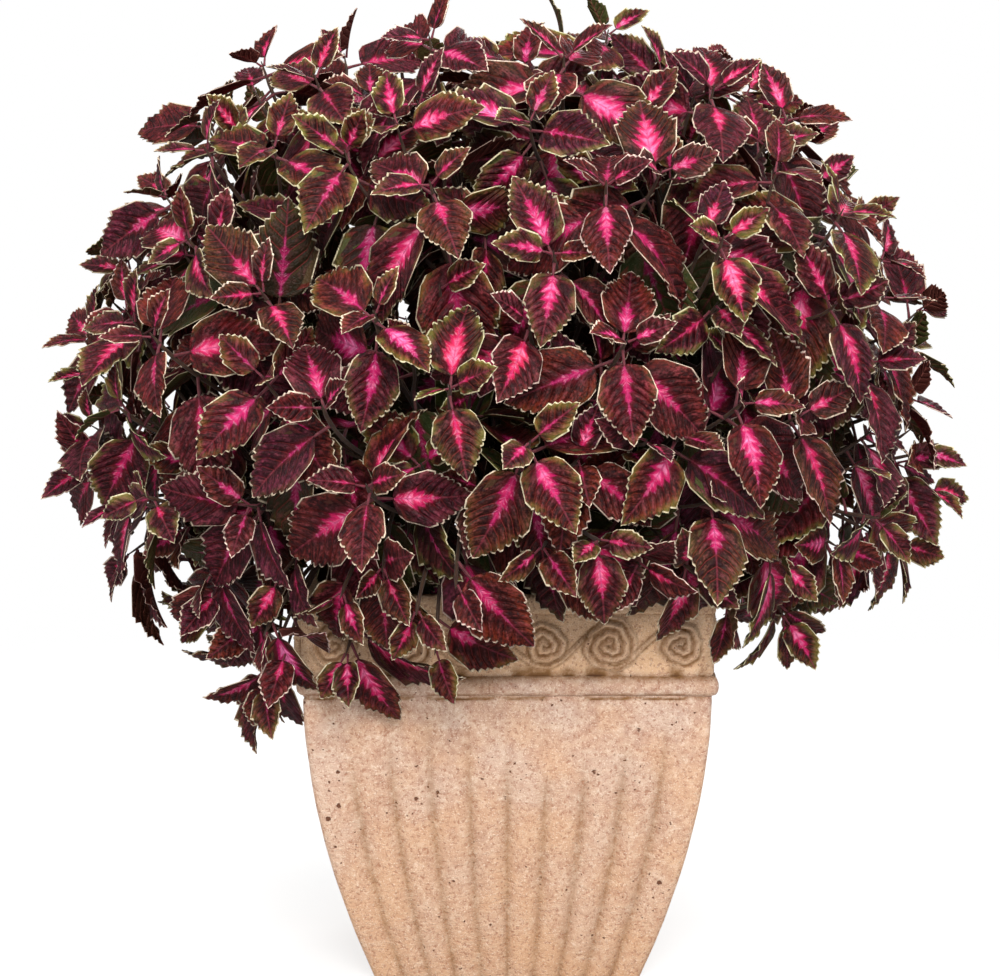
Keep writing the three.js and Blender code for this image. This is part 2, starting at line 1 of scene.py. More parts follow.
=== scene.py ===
# %% [markdown]
# A bushy coleus in a square terracotta planter. The solids of the planter, the soil and every leafy stem
# come packed in one frame, in metres. This lesson dresses them: each solid is replaced by a finer piece
# with the same form, and the shoots that fill the crown between them are added. Lengths below are in
# millimetres, as a gardener would measure them, and become metres when a mesh is made.

# %% The frame
import math
import time
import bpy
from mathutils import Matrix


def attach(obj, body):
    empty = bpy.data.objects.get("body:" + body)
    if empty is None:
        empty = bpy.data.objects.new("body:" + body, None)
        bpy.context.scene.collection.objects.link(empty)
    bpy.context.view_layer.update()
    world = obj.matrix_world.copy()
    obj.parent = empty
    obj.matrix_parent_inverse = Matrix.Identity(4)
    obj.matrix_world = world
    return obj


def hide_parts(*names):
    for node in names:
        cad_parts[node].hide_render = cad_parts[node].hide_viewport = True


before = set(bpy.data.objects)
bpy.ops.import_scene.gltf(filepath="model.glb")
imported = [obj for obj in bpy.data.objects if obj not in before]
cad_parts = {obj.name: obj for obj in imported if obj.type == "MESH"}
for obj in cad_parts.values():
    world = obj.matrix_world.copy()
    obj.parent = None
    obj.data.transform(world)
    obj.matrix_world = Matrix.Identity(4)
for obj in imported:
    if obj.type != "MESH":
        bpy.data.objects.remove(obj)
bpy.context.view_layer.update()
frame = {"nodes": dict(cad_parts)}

from types import SimpleNamespace

import bpy
import numpy as np
from mathutils import Vector, noise

MM = 0.001
started = time.time()
print("solids in the frame:", len(frame["nodes"]))

# %% [markdown]
# The plant and the planter follow the same driving sizes as the solids do. Most can't be read back off a
# mesh, such as how a stem curves, so they are named here again, with the same values.

# %% Driving sizes
POT_HEIGHT = 330.0
LIP_HALF = 168.0  # from the planter's middle to a flat side of the lip
LIP_HEIGHT = 14.0
FRIEZE_HEIGHT = 51.0
FRIEZE_RECESS = 1.2  # behind the lip
BEAD_HEIGHT = 16.0
BEAD_PROUD = 2.2  # of the lip
BODY_TOP_HALF = 165.3
BASE_HALF = 110.0
BODY_SWELL = 1.8  # how sharply the sides curve in toward the base
WALL = 16.0
SOIL_TOP = 308.0
BEAD_BOTTOM = POT_HEIGHT - LIP_HEIGHT - FRIEZE_HEIGHT - BEAD_HEIGHT

CROWN_CENTRE = np.array([-3.0, 0.0, 476.0])
CROWN_HALF_WIDTH = 368.0
CROWN_ABOVE = 336.0
CROWN_BELOW = 320.0
CROWN_FULLNESS = 2.6  # of its upper half: 2 is an ellipsoid, and more fills out the shoulders
TIP_INSET = 26.0  # how far inside the crown the shoots' tips lie
INSET_SPREAD = 10.0

# Where the shoots of the front show from EYE, on the upright plane through the planter's middle, and how
# many degrees their leaf pairs are turned: [across, up, turn].
EYE = np.array([-6.0, -2586.0, 672.0])
FRONT_SHOOTS = [
    [48, 769, 0], [-66, 784, 45], [-163, 751, 30], [-257, 691, 0], [-273, 615, 20], [175, 742, 20],
    [285, 638, 0], [322, 567, 0], [184, 616, 40], [84, 662, 0], [-66, 662, 30], [103, 528, 0],
    [-158, 471, 0], [-113, 552, 45], [-333, 471, 0], [-312, 394, 0], [-49, 488, 0], [20, 441, 45],
    [203, 475, 0], [346, 480, 20], [319, 374, 0], [161, 325, 45], [-121, 404, 0], [-44, 313, 45],
    [-143, 305, 0], [-209, 272, 30], [-304, 533, 0], [238, 334, 0], [80, 355, 20], [-258, 321, 20],
    [-78, 290, 40],
]  # fmt: skip
SPIRAL_COUNT = 50
SPIRAL_ROLL = 57  # degrees that the leaf pairs turn from shoot to shoot
TOP_RISE = 0.985  # sine of the highest tip's elevation, seen from the crown's centre
LOW_RISE = -0.66
SPIRAL_FROM = -0.12  # the spiral keeps behind this share of the crown's depth
TIP_SPACING = 84.0  # from a shoot of the front

ROOT_SPREAD = 118.0  # the outermost stem's distance from the middle, at the soil
ROOT_SPACING = 13.0
ROOT_DEPTH = 34.0
STEM_HALF = 2.6  # half the stem's width at the soil
STEM_TIP_HALF = 1.3
RIM_CLEARANCE = 40.0  # how far past the lip a low shoot's tip stands

# The leaf pairs of a shoot, from its tip down: how far below the tip, the blade's length, the angle from
# the stem, and how far the blade bends over.
PAIRS = [
    {"below": 3, "blade": 36, "spread": 36, "arch": 22},
    {"below": 12, "blade": 62, "spread": 60, "arch": 34},
    {"below": 28, "blade": 84, "spread": 76, "arch": 44},
    {"below": 56, "blade": 96, "spread": 84, "arch": 50},
]
BLADE_WIDTH = 0.73  # as a share of its length
STALK = 0.2  # as a share of the blade's length
DROOP_HIGH, DROOP_LOW = 0.55, 1.1
OUTER_DROOP = 0.7  # how much more the outer leaf of a pair hangs than the inner one
SIDE_LIGHT = 0.6  # how much the leaves turn to the light from the side
DARK_BEHIND = 160.0  # how far behind the middle the dark side's centre lies
FOLD = 14.0  # degrees that each half of a blade lifts from its midrib
CELL = 6.0  # of the space that leaves claim
TRIES = 14  # before a leaf is given up
GOLDEN_ANGLE = math.pi * (3 - math.sqrt(5))
UP = np.array([0.0, 0.0, 1.0])
print("crown:", 2 * CROWN_HALF_WIDTH, "mm wide, up to", CROWN_CENTRE[2] + CROWN_ABOVE, "mm")


# %% [markdown]
# A coleus grows by a simple rule. A stem rises from the soil and leans toward free light, and at each node
# it carries two leaves, opposite each other and a quarter turn round from the pair below. This could be
# placed by hand, one leaf at a time, but a rule with a seeded stream of numbers gives the same plant each
# time, and it is the rule that the solids were grown by.

# %% Small tools for directions
def lerp(a, b, t):
    return (1 - t) * a + t * b


def smoothstep(x, low, high):
    t = np.clip((x - low) / (high - low), 0, 1)
    return t * t * (3 - 2 * t)


def unit(v):
    return v / math.sqrt(v @ v)


def turned(v, axis, angle):
    """v turned about a unit axis, by the right-hand rule."""
    c, s = math.cos(angle), math.sin(angle)
    return v * c + np.cross(axis, v) * s + axis * (axis @ v) * (1 - c)


def draws_from(number, step, start):
    """A seeded stream of numbers (Park and Miller's generator) for the shoot of this number."""
    state = [step * (number + 1) + start]

    def draw(low, high):
        state[0] = state[0] * 16807 % 2147483647
        return lerp(low, high, state[0] / 2147483647)

    draw(0, 1)
    draw(0, 1)
    return draw


print("a quarter turn of x about z:", turned(np.array([1.0, 0.0, 0.0]), UP, math.pi / 2).round(3))


# %% Space that is taken
CELLS_ACROSS = 2048  # along each axis, with room to spare
BODY_CLAIMED = 60.0  # how far down the planter's body is kept free of leaves


class Space:
    """Cells of space that something already stands in, so that nothing grows through anything else."""

    def __init__(self):
        self.taken = set()
        steps = [-1, 0, 1]
        self.around = np.array(
            [(i * CELLS_ACROSS + j) * CELLS_ACROSS + k for i in steps for j in steps for k in steps]
        )

    def keys(self, points):
        x, y, z = (np.floor(points / CELL).astype(np.int64) + CELLS_ACROSS // 2).T
        return (x * CELLS_ACROSS + y) * CELLS_ACROSS + z

    def claim(self, points, close=False):
        keys = self.keys(np.atleast_2d(points))
        if not close:
            keys = (keys[:, None] + self.around).ravel()
        self.taken.update(keys.tolist())

    def free(self, points):
        return self.taken.isdisjoint(self.keys(points).tolist())


def body_half(z):
    from_top = 1 - np.minimum(z, BEAD_BOTTOM) / BEAD_BOTTOM
    return BODY_TOP_HALF - (BODY_TOP_HALF - BASE_HALF) * np.power(from_top, BODY_SWELL)


def claim_planter(space):
    z = BEAD_BOTTOM - BODY_CLAIMED
    while z <= POT_HEIGHT:
        half = LIP_HALF + BEAD_PROUD if z > BEAD_BOTTOM else float(body_half(z))
        along = -half
        while along <= half:
            for x, y in ((half, along), (-half, along), (along, half), (along, -half)):
                space.claim(np.array([x, y, z]))
            along += CELL
        z += CELL


print("cells that one point claims:", len(Space().around))


# %% Where the shoots' tips stand
SHOOT_SEEDS = (7919, 104729)  # step and start
SIGHT_STEPS = 12  # each brings the tip closer to where the line of sight meets the crown
LIP_CORNER = 1.36  # how far out the lip's corners lie, as a share of LIP_HALF
LOW_TIP = 90  # tips less than this above the lip stand outside it


def tip_half_height(up, inset):
    return (CROWN_ABOVE if up > 0 else CROWN_BELOW) - inset


def front_tip(across, up, inset):
    """Follows the line of sight through a point of the middle plane to the front of the crown."""
    seen = np.array([across, 0.0, up])
    tip = seen.copy()
    for _ in range(SIGHT_STEPS):
        wide = (tip[0] - CROWN_CENTRE[0]) / (CROWN_HALF_WIDTH - inset)
        high = (tip[2] - CROWN_CENTRE[2]) / tip_half_height(tip[2] - CROWN_CENTRE[2], inset)
        fullness = CROWN_FULLNESS if high > 0 else 2
        level = max(1 - abs(high) ** fullness, 0) ** (1 / fullness)
        depth = (CROWN_HALF_WIDTH - inset) * math.sqrt(max(level * level - wide * wide, 0))
        tip = lerp(seen, EYE, depth / -EYE[1])
    return tip


def spiral_tip(index, count, inset):
    """A tip of a spiral that covers the crown evenly, and its direction's sideways part."""
    turn = index * GOLDEN_ANGLE
    rise = lerp(TOP_RISE, LOW_RISE, (index + 0.5) / count)
    level = math.sqrt(1 - rise * rise)
    fullness = CROWN_FULLNESS if rise > 0 else 2
    swell = (level**fullness + abs(rise) ** fullness) ** (-1 / fullness)
    reach = (CROWN_HALF_WIDTH - inset) * level * swell
    high = tip_half_height(rise, inset) * rise * swell
    tip = np.array([reach * math.cos(turn), reach * math.sin(turn), high]) + CROWN_CENTRE
    return tip, level * math.sin(turn)


def place_tips():
    shoots = []

    def place(tip_of, roll):
        draw = draws_from(len(shoots), *SHOOT_SEEDS)
        tip = tip_of(TIP_INSET + draw(-INSET_SPREAD, INSET_SPREAD))
        shoots.append({"draw": draw, "tip": tip, "roll": math.radians(roll) + draw(-0.2, 0.2)})

    for across, up, roll in FRONT_SHOOTS:
        place(lambda inset: front_tip(across, up, inset), roll)
    front = [shoot["tip"].copy() for shoot in shoots]
    for index in range(SPIRAL_COUNT):
        tip, sideways = spiral_tip(index, SPIRAL_COUNT, TIP_INSET)
        if sideways < SPIRAL_FROM:
            continue
        if min(math.dist(other, tip) for other in front) > TIP_SPACING:
            place(lambda inset: spiral_tip(index, SPIRAL_COUNT, inset)[0], SPIRAL_ROLL * index)
    return shoots


def lip_reach(turn):
    c, s = abs(math.cos(turn)), abs(math.sin(turn))
    return min(LIP_HALF / max(c, s), LIP_HALF * LIP_CORNER)


def outward_at(tip):
    """The way out of the crown at a point, as a unit vector in the crown's own proportions."""
    across = tip - CROWN_CENTRE
    scale = np.array([CROWN_HALF_WIDTH, CROWN_HALF_WIDTH, CROWN_ABOVE if across[2] > 0 else CROWN_BELOW])
    return unit(across / scale)


def clear_of_lip(tip):
    """Low tips stand outside the lip."""
    if tip[2] < POT_HEIGHT + LOW_TIP:
        flat = math.hypot(tip[0], tip[1])
        wanted = max(flat, lip_reach(math.atan2(tip[1], tip[0])) + RIM_CLEARANCE)
        return np.array([tip[0] * wanted / flat, tip[1] * wanted / flat, tip[2]])
    return tip


print("tips of main stems:", len(place_tips()))


# %% The stems
CURVE_STEPS = 48
ROOT_TRIES = 60
ROOT_INWARD, ROOT_ROUND = 0.8, 0.03  # how far a root moves at each try


class Stem:
    """A square stem along a cubic curve, with the leaf pairs that it carries."""

    def __init__(self, draw, path, outward, hang, roll, thick=1.0):
        self.draw, self.path, self.outward, self.hang, self.roll = draw, path, outward, hang, roll
        self.thick = thick
        self.behind = DARK_BEHIND
        self.leaves = []
        self.t = np.arange(CURVE_STEPS + 1) / CURVE_STEPS
        self.points = self.point(self.t)
        gaps = np.sqrt(((self.points[1:] - self.points[:-1]) ** 2).sum(1))
        self.left = np.append(np.cumsum(gaps[::-1])[::-1], 0)

    def point(self, t):
        t = np.asarray(t)[..., None]
        a, b, c, d = self.path
        s = 1 - t
        return a * s**3 + b * 3 * s**2 * t + c * 3 * s * t**2 + d * t**3

    def way(self, t):
        a, b, c, d = self.path
        s = 1 - t
        return unit(-a * s * s + b * (s * s - 2 * s * t) + c * (2 * s * t - t * t) + d * t * t)

    def below_tip(self, below):
        """The curve's parameter at a distance below the tip."""
        i = len(self.t) - 1
        while i > 0 and self.left[i - 1] < below:
            i -= 1
        j = max(i - 1, 0)
        part = (below - self.left[i]) / max(self.left[j] - self.left[i], 1e-9)
        return lerp(self.t[i], self.t[j], min(max(part, 0), 1))

    def frames(self, stations):
        """Cross-section axes at each station, each turned as little as possible from the one before."""
        found = []
        side = np.array([math.cos(self.roll), math.sin(self.roll), 0.0])
        for t in stations:
            along = self.way(max(t, 0))
            side = unit(side - along * (side @ along))
            at = self.point(max(t, 0))
            found.append({"t": t, "at": at, "along": along, "side": side, "across": np.cross(along, side)})
        return found

    def half(self, t):
        return lerp(STEM_HALF, STEM_TIP_HALF, min(max(t, 0), 1)) * self.thick


def grow_stem(shoot, roots):
    draw, tip, roll = shoot["draw"], shoot["tip"], shoot["roll"]
    outward = outward_at(tip)
    rise = outward[2]
    turn = math.atan2(tip[1], tip[0])
    hang = float(smoothstep(-rise, 0.1, 0.5))
    tip = clear_of_lip(tip)
    share = min(max((TOP_RISE - rise) / (TOP_RISE - LOW_RISE), 0.004), 1)
    for attempt in range(ROOT_TRIES):
        root_reach = ROOT_SPREAD * math.sqrt(share) - ROOT_INWARD * attempt * math.sqrt(share)
        root_turn = turn + ROOT_ROUND * attempt * (1 if attempt % 2 else -1)
        root = np.array([root_reach * math.cos(root_turn), root_reach * math.sin(root_turn), SOIL_TOP])
        if all(math.dist(other, root) > ROOT_SPACING for other in roots):
            break
    roots.append(root)
    heading = outward + UP * lerp(0.75, -0.4, hang)
    heading[0] += draw(-0.2, 0.2)
    heading[1] += draw(-0.2, 0.2)
    heading = unit(heading)
    span = math.dist(root, tip)
    upward = UP * span * lerp(0.42, 0.8, hang)
    path = [root, root + upward, tip - heading * span * lerp(0.34, 0.42, hang), tip]
    return Stem(draw, path, outward, hang, roll)


# %% [markdown]
# A coleus leaf has a short stalk and a broad, pointed blade that folds a little along its midrib and bends
# over backward. Both are bent along one circular arc here, so any point of the blade is a formula of two
# numbers: how far along it is, and how far toward the margin.

# %% One leaf
SAMPLE_MM = 5  # between the points that claim space for a blade


class Leaf:
    def __init__(self, root, heading, face, blade, arch):
        self.root, self.heading, self.face = root, heading, face
        self.across = np.cross(face, heading)
        self.blade, self.stalk, self.arch = blade, blade * STALK, arch

    def angle(self, along):
        return self.arch * (self.stalk + self.blade * along) / (self.stalk + self.blade)

    def face_at(self, angle):
        return self.face * np.cos(angle)[..., None] + self.heading * np.sin(angle)[..., None]

    def at(self, along, side, lift):
        """Points `along` the blade, `side` millimetres from the midrib and `lift` above the arc."""
        angle = self.angle(along)
        radius = (self.stalk + self.blade) / self.arch
        return (
            self.root
            + self.heading * (radius * np.sin(angle))[..., None]
            + self.face * (radius * (np.cos(angle) - 1))[..., None]
            + self.across * side[..., None]
            + self.face_at(angle) * lift[..., None]
        )

    def half_width(self, along):
        widest = math.sqrt(1 / 3) * (2 / 3)
        along = np.clip(along, 0, 1)
        return self.blade * BLADE_WIDTH * 0.5 * np.sqrt(along) * (1 - along) / widest

    def samples(self):
        length = self.blade + self.stalk
        rows = math.ceil(length / SAMPLE_MM)
        along, wide = [], []
        for row in range(1, rows + 1):
            v = (row / rows * length - self.stalk) / self.blade
            half = float(self.half_width(min(v, 0.97))) if v > 0 else 0.0
            columns = math.ceil(half / SAMPLE_MM)
            for column in range(-columns, columns + 1):
                along.append(v)
                wide.append(half * column / columns if columns else 0.0)
        wide = np.array(wide)
        lift = math.radians(FOLD)
        return self.at(np.array(along), wide * math.cos(lift), np.abs(wide) * math.sin(lift))


level_leaf = Leaf(np.zeros(3), np.array([1.0, 0.0, 0.0]), UP, 100.0, 0.8)
print("samples over a blade of 100 mm:", len(level_leaf.samples()))


# %% How a leaf finds its place
LOOSER = 0.18  # how much wider each try draws than the one before
STALK_FREE = 15  # near its root a leaf may stand close to others
LARGE_LEAF = 88  # the blade that the droop is given for


def grow_leaf(stem, pair, frame, quarter, space, tries=TRIES, close=False):
    """Draws leaves for one side of a node until one is clear of everything, and claims its space."""
    draw, hang = stem.draw, stem.hang
    out = frame["side"] * math.cos(quarter) + frame["across"] * math.sin(quarter)
    root = frame["at"] + out * stem.half(frame["t"])
    level = unit((stem.path[3] - [0, stem.behind, 0]) * [1, 1, 0])
    light = stem.outward * 0.7 + UP * lerp(0.45, 0.1, hang) + level * SIDE_LIGHT
    sinking = 1 + lerp(OUTER_DROOP, 0, hang) * (out @ level)
    for attempt in range(tries):
        loose = 1 + attempt * LOOSER
        spread = math.radians(pair["spread"] + draw(-9, 9) * loose)
        twist = math.radians(draw(-12, 12) * loose)
        heading = turned(out, frame["along"], twist) * math.sin(spread) + frame["along"] * math.cos(spread)
        droop = pair["blade"] / LARGE_LEAF * (lerp(DROOP_HIGH, DROOP_LOW, hang) + draw(-0.2, 0.2) * loose)
        heading = unit(heading - UP * droop * sinking)
        face = frame["along"] * lerp(0.3, 0.6, hang) + light * 0.8
        face = unit(face - heading * (face @ heading))
        face = turned(face, heading, math.radians(draw(-24, 24) * loose))
        shrink = 1 if attempt < tries / 2 else 0.8
        blade = pair["blade"] * draw(0.88, 1.12) * shrink
        leaf = Leaf(root, heading, face, blade, math.radians(pair["arch"] + draw(-14, 14)))
        samples = leaf.samples()
        away = np.sqrt(((samples - root) ** 2).sum(1)) > STALK_FREE
        if space.free(samples[away]):
            space.claim(samples, close)
            return leaf
    return None


# %% The main stems grow
def grow_main_stems(space):
    claim_planter(space)
    roots = []
    stems = [grow_stem(shoot, roots) for shoot in place_tips()]
    for stem in stems:
        space.claim(stem.points)
        nodes = [stem.below_tip(pair["below"]) for pair in PAIRS][::-1]
        stem.nodes = stem.frames([-1, 0, 0.3, 0.6, *nodes])
    for number, pair in enumerate(PAIRS):
        for stem in stems:
            frame_here = stem.nodes[-1 - number]
            for side in (0, 1):
                quarter = number % 2 * math.pi / 2 + side * math.pi
                leaf = grow_leaf(stem, pair, frame_here, quarter, space)
                if leaf:
                    stem.leaves.append(leaf)
    return stems


space = Space()
stems = grow_main_stems(space)
print("stems:", len(stems), "with", sum(len(s.leaves) for s in stems), "leaves")


# %% [markdown]
# The bush is far fuller than its main stems: older leaves shade the inside, and side shoots fill the gaps
# between the tips. They could be scattered over a ball, but then they would hang in the air, so they grow
# on the same stems by the same rule, and each keeps clear of what already stands there.

# %% Sizes of side shoots and older leaves
OLDER_PAIRS = [
    {"below": 92, "blade": 94, "spread": 84, "arch": 50},
    {"below": 136, "blade": 86, "spread": 86, "arch": 50},
    {"below": 186, "blade": 80, "spread": 88, "arch": 45},
    {"below": 240, "blade": 84, "spread": 88, "arch": 40},
    {"below": 300, "blade": 84, "spread": 88, "arch": 40},
]
SIDE_PAIRS = [
    {"below": 3, "blade": 40, "spread": 38, "arch": 24},
    {"below": 12, "blade": 66, "spread": 62, "arch": 36},
    {"below": 28, "blade": 80, "spread": 78, "arch": 44},
    {"below": 56, "blade": 82, "spread": 84, "arch": 50},
]
# Smaller rosettes that show in the front, as FRONT_SHOOTS gives them: [across, up].
FRONT_SIDE_SHOOTS = [
    [-147, 687], [225, 670], [20, 712], [45, 599], [-216, 492], [250, 458], [340, 416],
    [156, 441], [-100, 704], [-211, 578], [24, 552], [71, 433], [-228, 390], [114, 338],
    [-134, 258], [-177, 262], [-110, 330], [-60, 256], [-190, 320], [-222, 282], [-190, 238],
    [-155, 236], [-240, 305], [352, 430], [338, 384], [345, 520], [330, 345], [318, 590],
    [-350, 520], [-352, 430], [-335, 372], [-330, 345], [-322, 560], [200, 300], [235, 290],
    [352, 556], [318, 452], [356, 400], [300, 420], [310, 510], [326, 405], [-220, 737], [345, 448],
    [-321, 585], [307, 622], [-252, 606], [-357, 449], [345, 553], [242, 703], [156, 742], [-337, 567],
    [20, 761], [212, 700], [118, 446], [207, 739], [-344, 503], [-257, 295], [-138, 769], [135, 756],
    [277, 347], [-311, 364], [-355, 468], [289, 383],
]  # fmt: skip
FRONT_SIDE_INSET = 44.0
FILL_COUNT = 300
FILL_INSETS = (26, 110)
FILL_SPACING, FRONT_SPACING = 44.0, 20.0
SIDE_THICKNESS = 0.8
BRANCH_BELOW = 150.0
FRONT_DARK_BEHIND = 320.0  # side shoots in the front half turn further to the front
LEAN = 0.9  # how far their leaves turn to the front and to the back, so that the crown's rim is closed
LEAN_TURNS = (0.0, 160.0)
# No side shoot hangs over this part of the front, where the frieze shows.
BARE_FRIEZE = {"from": 15, "to": 165, "below": 330}
SIDE_SEEDS = (6151, 3571)
OLDER_TRIES = 8
print("side shoots asked for:", len(FRONT_SIDE_SHOOTS) + FILL_COUNT)


# %% How side shoots and older leaves grow
def add_pairs(stem, pairs, first, tries):
    """Grows leaf pairs at the nodes that the stem has room for, and returns how many leaves grew."""
    grown = 0
    for number, pair in enumerate(pairs, start=first):
        if stem.left[0] < pair["below"] + 20:
            continue
        (frame_here,) = stem.frames([stem.below_tip(pair["below"])])
        for side in (0, 1):
            quarter = number % 2 * math.pi / 2 + side * math.pi
            leaf = grow_leaf(stem, pair, frame_here, quarter, space, tries, close=True)
            if leaf:
                leaf.age = min(number / 4, 1)
                stem.leaves.append(leaf)
                grown += 1
    return grown


def branch_to(tip, draw):
    """A side shoot from the nearest main stem to a tip."""
    parent = min(stems, key=lambda stem: math.dist(stem.path[3], tip))
    fork = parent.below_tip(min(BRANCH_BELOW, parent.left[0] * 0.6))
    root = parent.point(fork)
    span = math.dist(root, tip)
    outward = outward_at(tip)
    hang = float(smoothstep(-outward[2], 0.1, 0.5))
    swing = np.array([draw(-0.25, 0.25), draw(-0.25, 0.25), 0])
    heading = unit(outward + UP * lerp(0.75, -0.4, hang) + swing)
    path = [root, root + parent.way(fork) * span * 0.4, tip - heading * span * 0.34, tip]
    shoot = Stem(draw, path, outward, hang, draw(0, math.pi), SIDE_THICKNESS)
    shoot.behind = lerp(DARK_BEHIND, FRONT_DARK_BEHIND, smoothstep(-tip[1], -60, 80))
    shoot.outward = outward + [0, LEAN * (2 * smoothstep(tip[1], *LEAN_TURNS) - 1), 0]
    return shoot


def grow_side_shoots():
    """Side shoots whose tips lie where no other tip is near."""
    wanted = [(FRONT_SIDE_INSET, lambda inset, at=at: front_tip(*at, inset)) for at in FRONT_SIDE_SHOOTS]
    wanted += [(None, lambda inset, i=i: spiral_tip(i, FILL_COUNT, inset)[0]) for i in range(FILL_COUNT)]
    tips = [stem.path[3] for stem in stems]
    shoots = []
    for index, (inset, tip_of) in enumerate(wanted):
        draw = draws_from(index, *SIDE_SEEDS)
        tip = clear_of_lip(tip_of(inset or draw(*FILL_INSETS)) + np.array([draw(-8, 8) for _ in range(3)]))
        if min(math.dist(other, tip) for other in tips) < (FRONT_SPACING if inset else FILL_SPACING):
            continue
        low = tip[1] < 0 and tip[2] < BARE_FRIEZE["below"]
        if low and BARE_FRIEZE["from"] < tip[0] < BARE_FRIEZE["to"]:
            continue
        tips.append(tip)
        shoots.append(branch_to(tip, draw))
        space.claim(shoots[-1].points, close=True)
    for shoot in shoots:
        add_pairs(shoot, SIDE_PAIRS, 0, TRIES)
    return shoots


# %% Side shoots and older leaves
for stem in stems:
    for leaf in stem.leaves:
        leaf.age = float(np.clip((leaf.blade - 25) / 75, 0, 1)) * 0.5
space = Space()
claim_planter(space)
for stem in stems:
    space.claim(stem.points, close=True)
    for leaf in stem.leaves:
        space.claim(leaf.samples(), close=True)
side_shoots = grow_side_shoots()
older = sum(add_pairs(stem, OLDER_PAIRS, len(PAIRS), OLDER_TRIES) for stem in stems)
print("side shoots:", len(side_shoots), "with", sum(len(s.leaves) for s in side_shoots), "leaves")
print("older leaves:", older, "grown after", round(time.time() - started, 1), "s")


# %% [markdown]
# Every finish below is a small graph of nodes. Colours are given as a painter would read them off a screen,
# and light adds up in linear numbers, so one function converts them. A second one adds a node, sets it up
# and links it, which keeps the graphs short enough to read.

# %% Colours and nodes
def colour(hex_code):
    """An sRGB colour such as "c8763f" as linear numbers."""
    parts = [int(hex_code[i : i + 2], 16) / 255 for i in (0, 2, 4)]
    return (*(p / 12.92 if p <= 0.04045 else ((p + 0.055) / 1.055) ** 2.4 for p in parts), 1.0)


def add(tree, kind, inputs=None, out=0, stops=(), **settings):
    """Adds a node, sets it up, fills or links its inputs and stops, and returns one of its outputs."""
    node = tree.nodes.new("ShaderNode" + kind)
    for name, value in settings.items():
        setattr(node, name, value)
    for name, value in (inputs or {}).items():
        if isinstance(value, bpy.types.NodeSocket):
            tree.links.new(value, node.inputs[name])
        else:
            node.inputs[name].default_value = colour(value) if isinstance(value, str) else value
    for number, (place, shade) in enumerate(stops):
        stop = node.color_ramp.elements[number] if number < 2 else node.color_ramp.elements.new(place)
        stop.position, stop.color = place, colour(shade)
    return node.outputs[out] if node.outputs else node


RGBA = {"out": 2, "data_type": "RGBA"}  # for a Mix that mixes colours
SMOOTH = {"interpolation_type": "SMOOTHSTEP"}  # for a Map Range without corners


def new_material(name):
    material = bpy.data.materials.new(name)
    material.use_nodes = True
    material.node_tree.nodes.clear()
    return material, material.node_tree


print("mid grey 808080 as linear light:", round(colour("808080")[0], 3))


# %% [markdown]
# The blade's upper skin is what sells the plant: a hot pink flame round the midrib that reaches out along
# the side veins, then wine red going to brown, then a thin pale line at the scalloped margin. The eye reads
# the flame first, so its edge is feathered by the veins, and noise breaks it so that no two leaves match. A
# picture could be mapped on, but the pattern would stretch where the blade bends, so it is worked out from
# numbers that the mesh carries at each point: how deep in the flame it is, how near a vein, and how far
# from the margin.

# %% Living leaf skin: its sizes
FLAME_RAGGED = 0.3  # as a share of the half width
PATCH_MM, GRAIN_MM, NET_MM = 15.0, 2.4, 3.4
STREAK_MM, STREAK_RUN_MM = 1.7, 6.0  # across the veins and along them
VEIN_TURN = math.radians(42)  # from the midrib
VEIN_COS, VEIN_SIN = math.cos(VEIN_TURN), math.sin(VEIN_TURN)
MARGIN_MM, GREEN_MM, RIB_MM = 1.4, 9.0, 1.1
MARGIN_CORE_MM, GREEN_CORE_MM, RIB_CORE_MM = 0.55, 0.5, 0.3  # where each is at its strongest
NET_RELIEF_MM = 0.9
LEAF_SHIFT_MM = 937.0  # moves the noise on from leaf to leaf
SHOOT_TONES, SHOOT_SHARE = 64.0, 0.65  # leaves of one shoot are alike in colour
LET_THROUGH = 0.14  # the share of light that shines through the blade, rusty where it isn't pink
print("leaf skin: streaks", STREAK_MM, "mm wide along the veins, patches", PATCH_MM, "mm wide")


# %% What the mesh tells the leaf skin
def leaf_facts(tree):
    """What the mesh tells at each point, and three chances that differ from leaf to leaf."""
    here = SimpleNamespace()
    told = {"marks": "flame near_vein rim_mm", "where": "side_mm along_mm rib_mm", "leaf": "tone age under"}
    for attribute, names in told.items():
        numbers = add(tree, "SeparateXYZ", {0: add(tree, "Attribute", out=1, attribute_name=attribute)})
        vars(here).update(zip(names.split(), numbers.node.outputs))
    own = add(tree, "TexWhiteNoise", {"W": here.tone}, out=1, noise_dimensions="1D")
    shoot = add(tree, "Math", {0: here.tone, 1: SHOOT_TONES}, operation="MULTIPLY")
    shoot = add(tree, "Math", {0: shoot}, operation="FLOOR")
    shared = add(tree, "TexWhiteNoise", {"W": shoot}, out=1, noise_dimensions="1D")
    chance = add(tree, "Mix", {0: SHOOT_SHARE, 6: own, 7: shared}, **RGBA)
    here.one, here.two, here.three = add(tree, "SeparateColor", {0: chance}).node.outputs
    here.vein = add(tree, "MapRange", {0: here.near_vein, 1: 0.78, 2: 0.96}, **SMOOTH)
    here.between = add(tree, "MapRange", {0: here.near_vein, 1: 0.85, 2: 0.15}, **SMOOTH)
    here.rib = add(tree, "MapRange", {0: here.rib_mm, 1: RIB_MM, 2: RIB_CORE_MM}, **SMOOTH)
    here.oldness = add(tree, "MapRange", {0: here.age, 1: 0.5, 2: 0.85, 4: 0.75}, **SMOOTH)
    return here


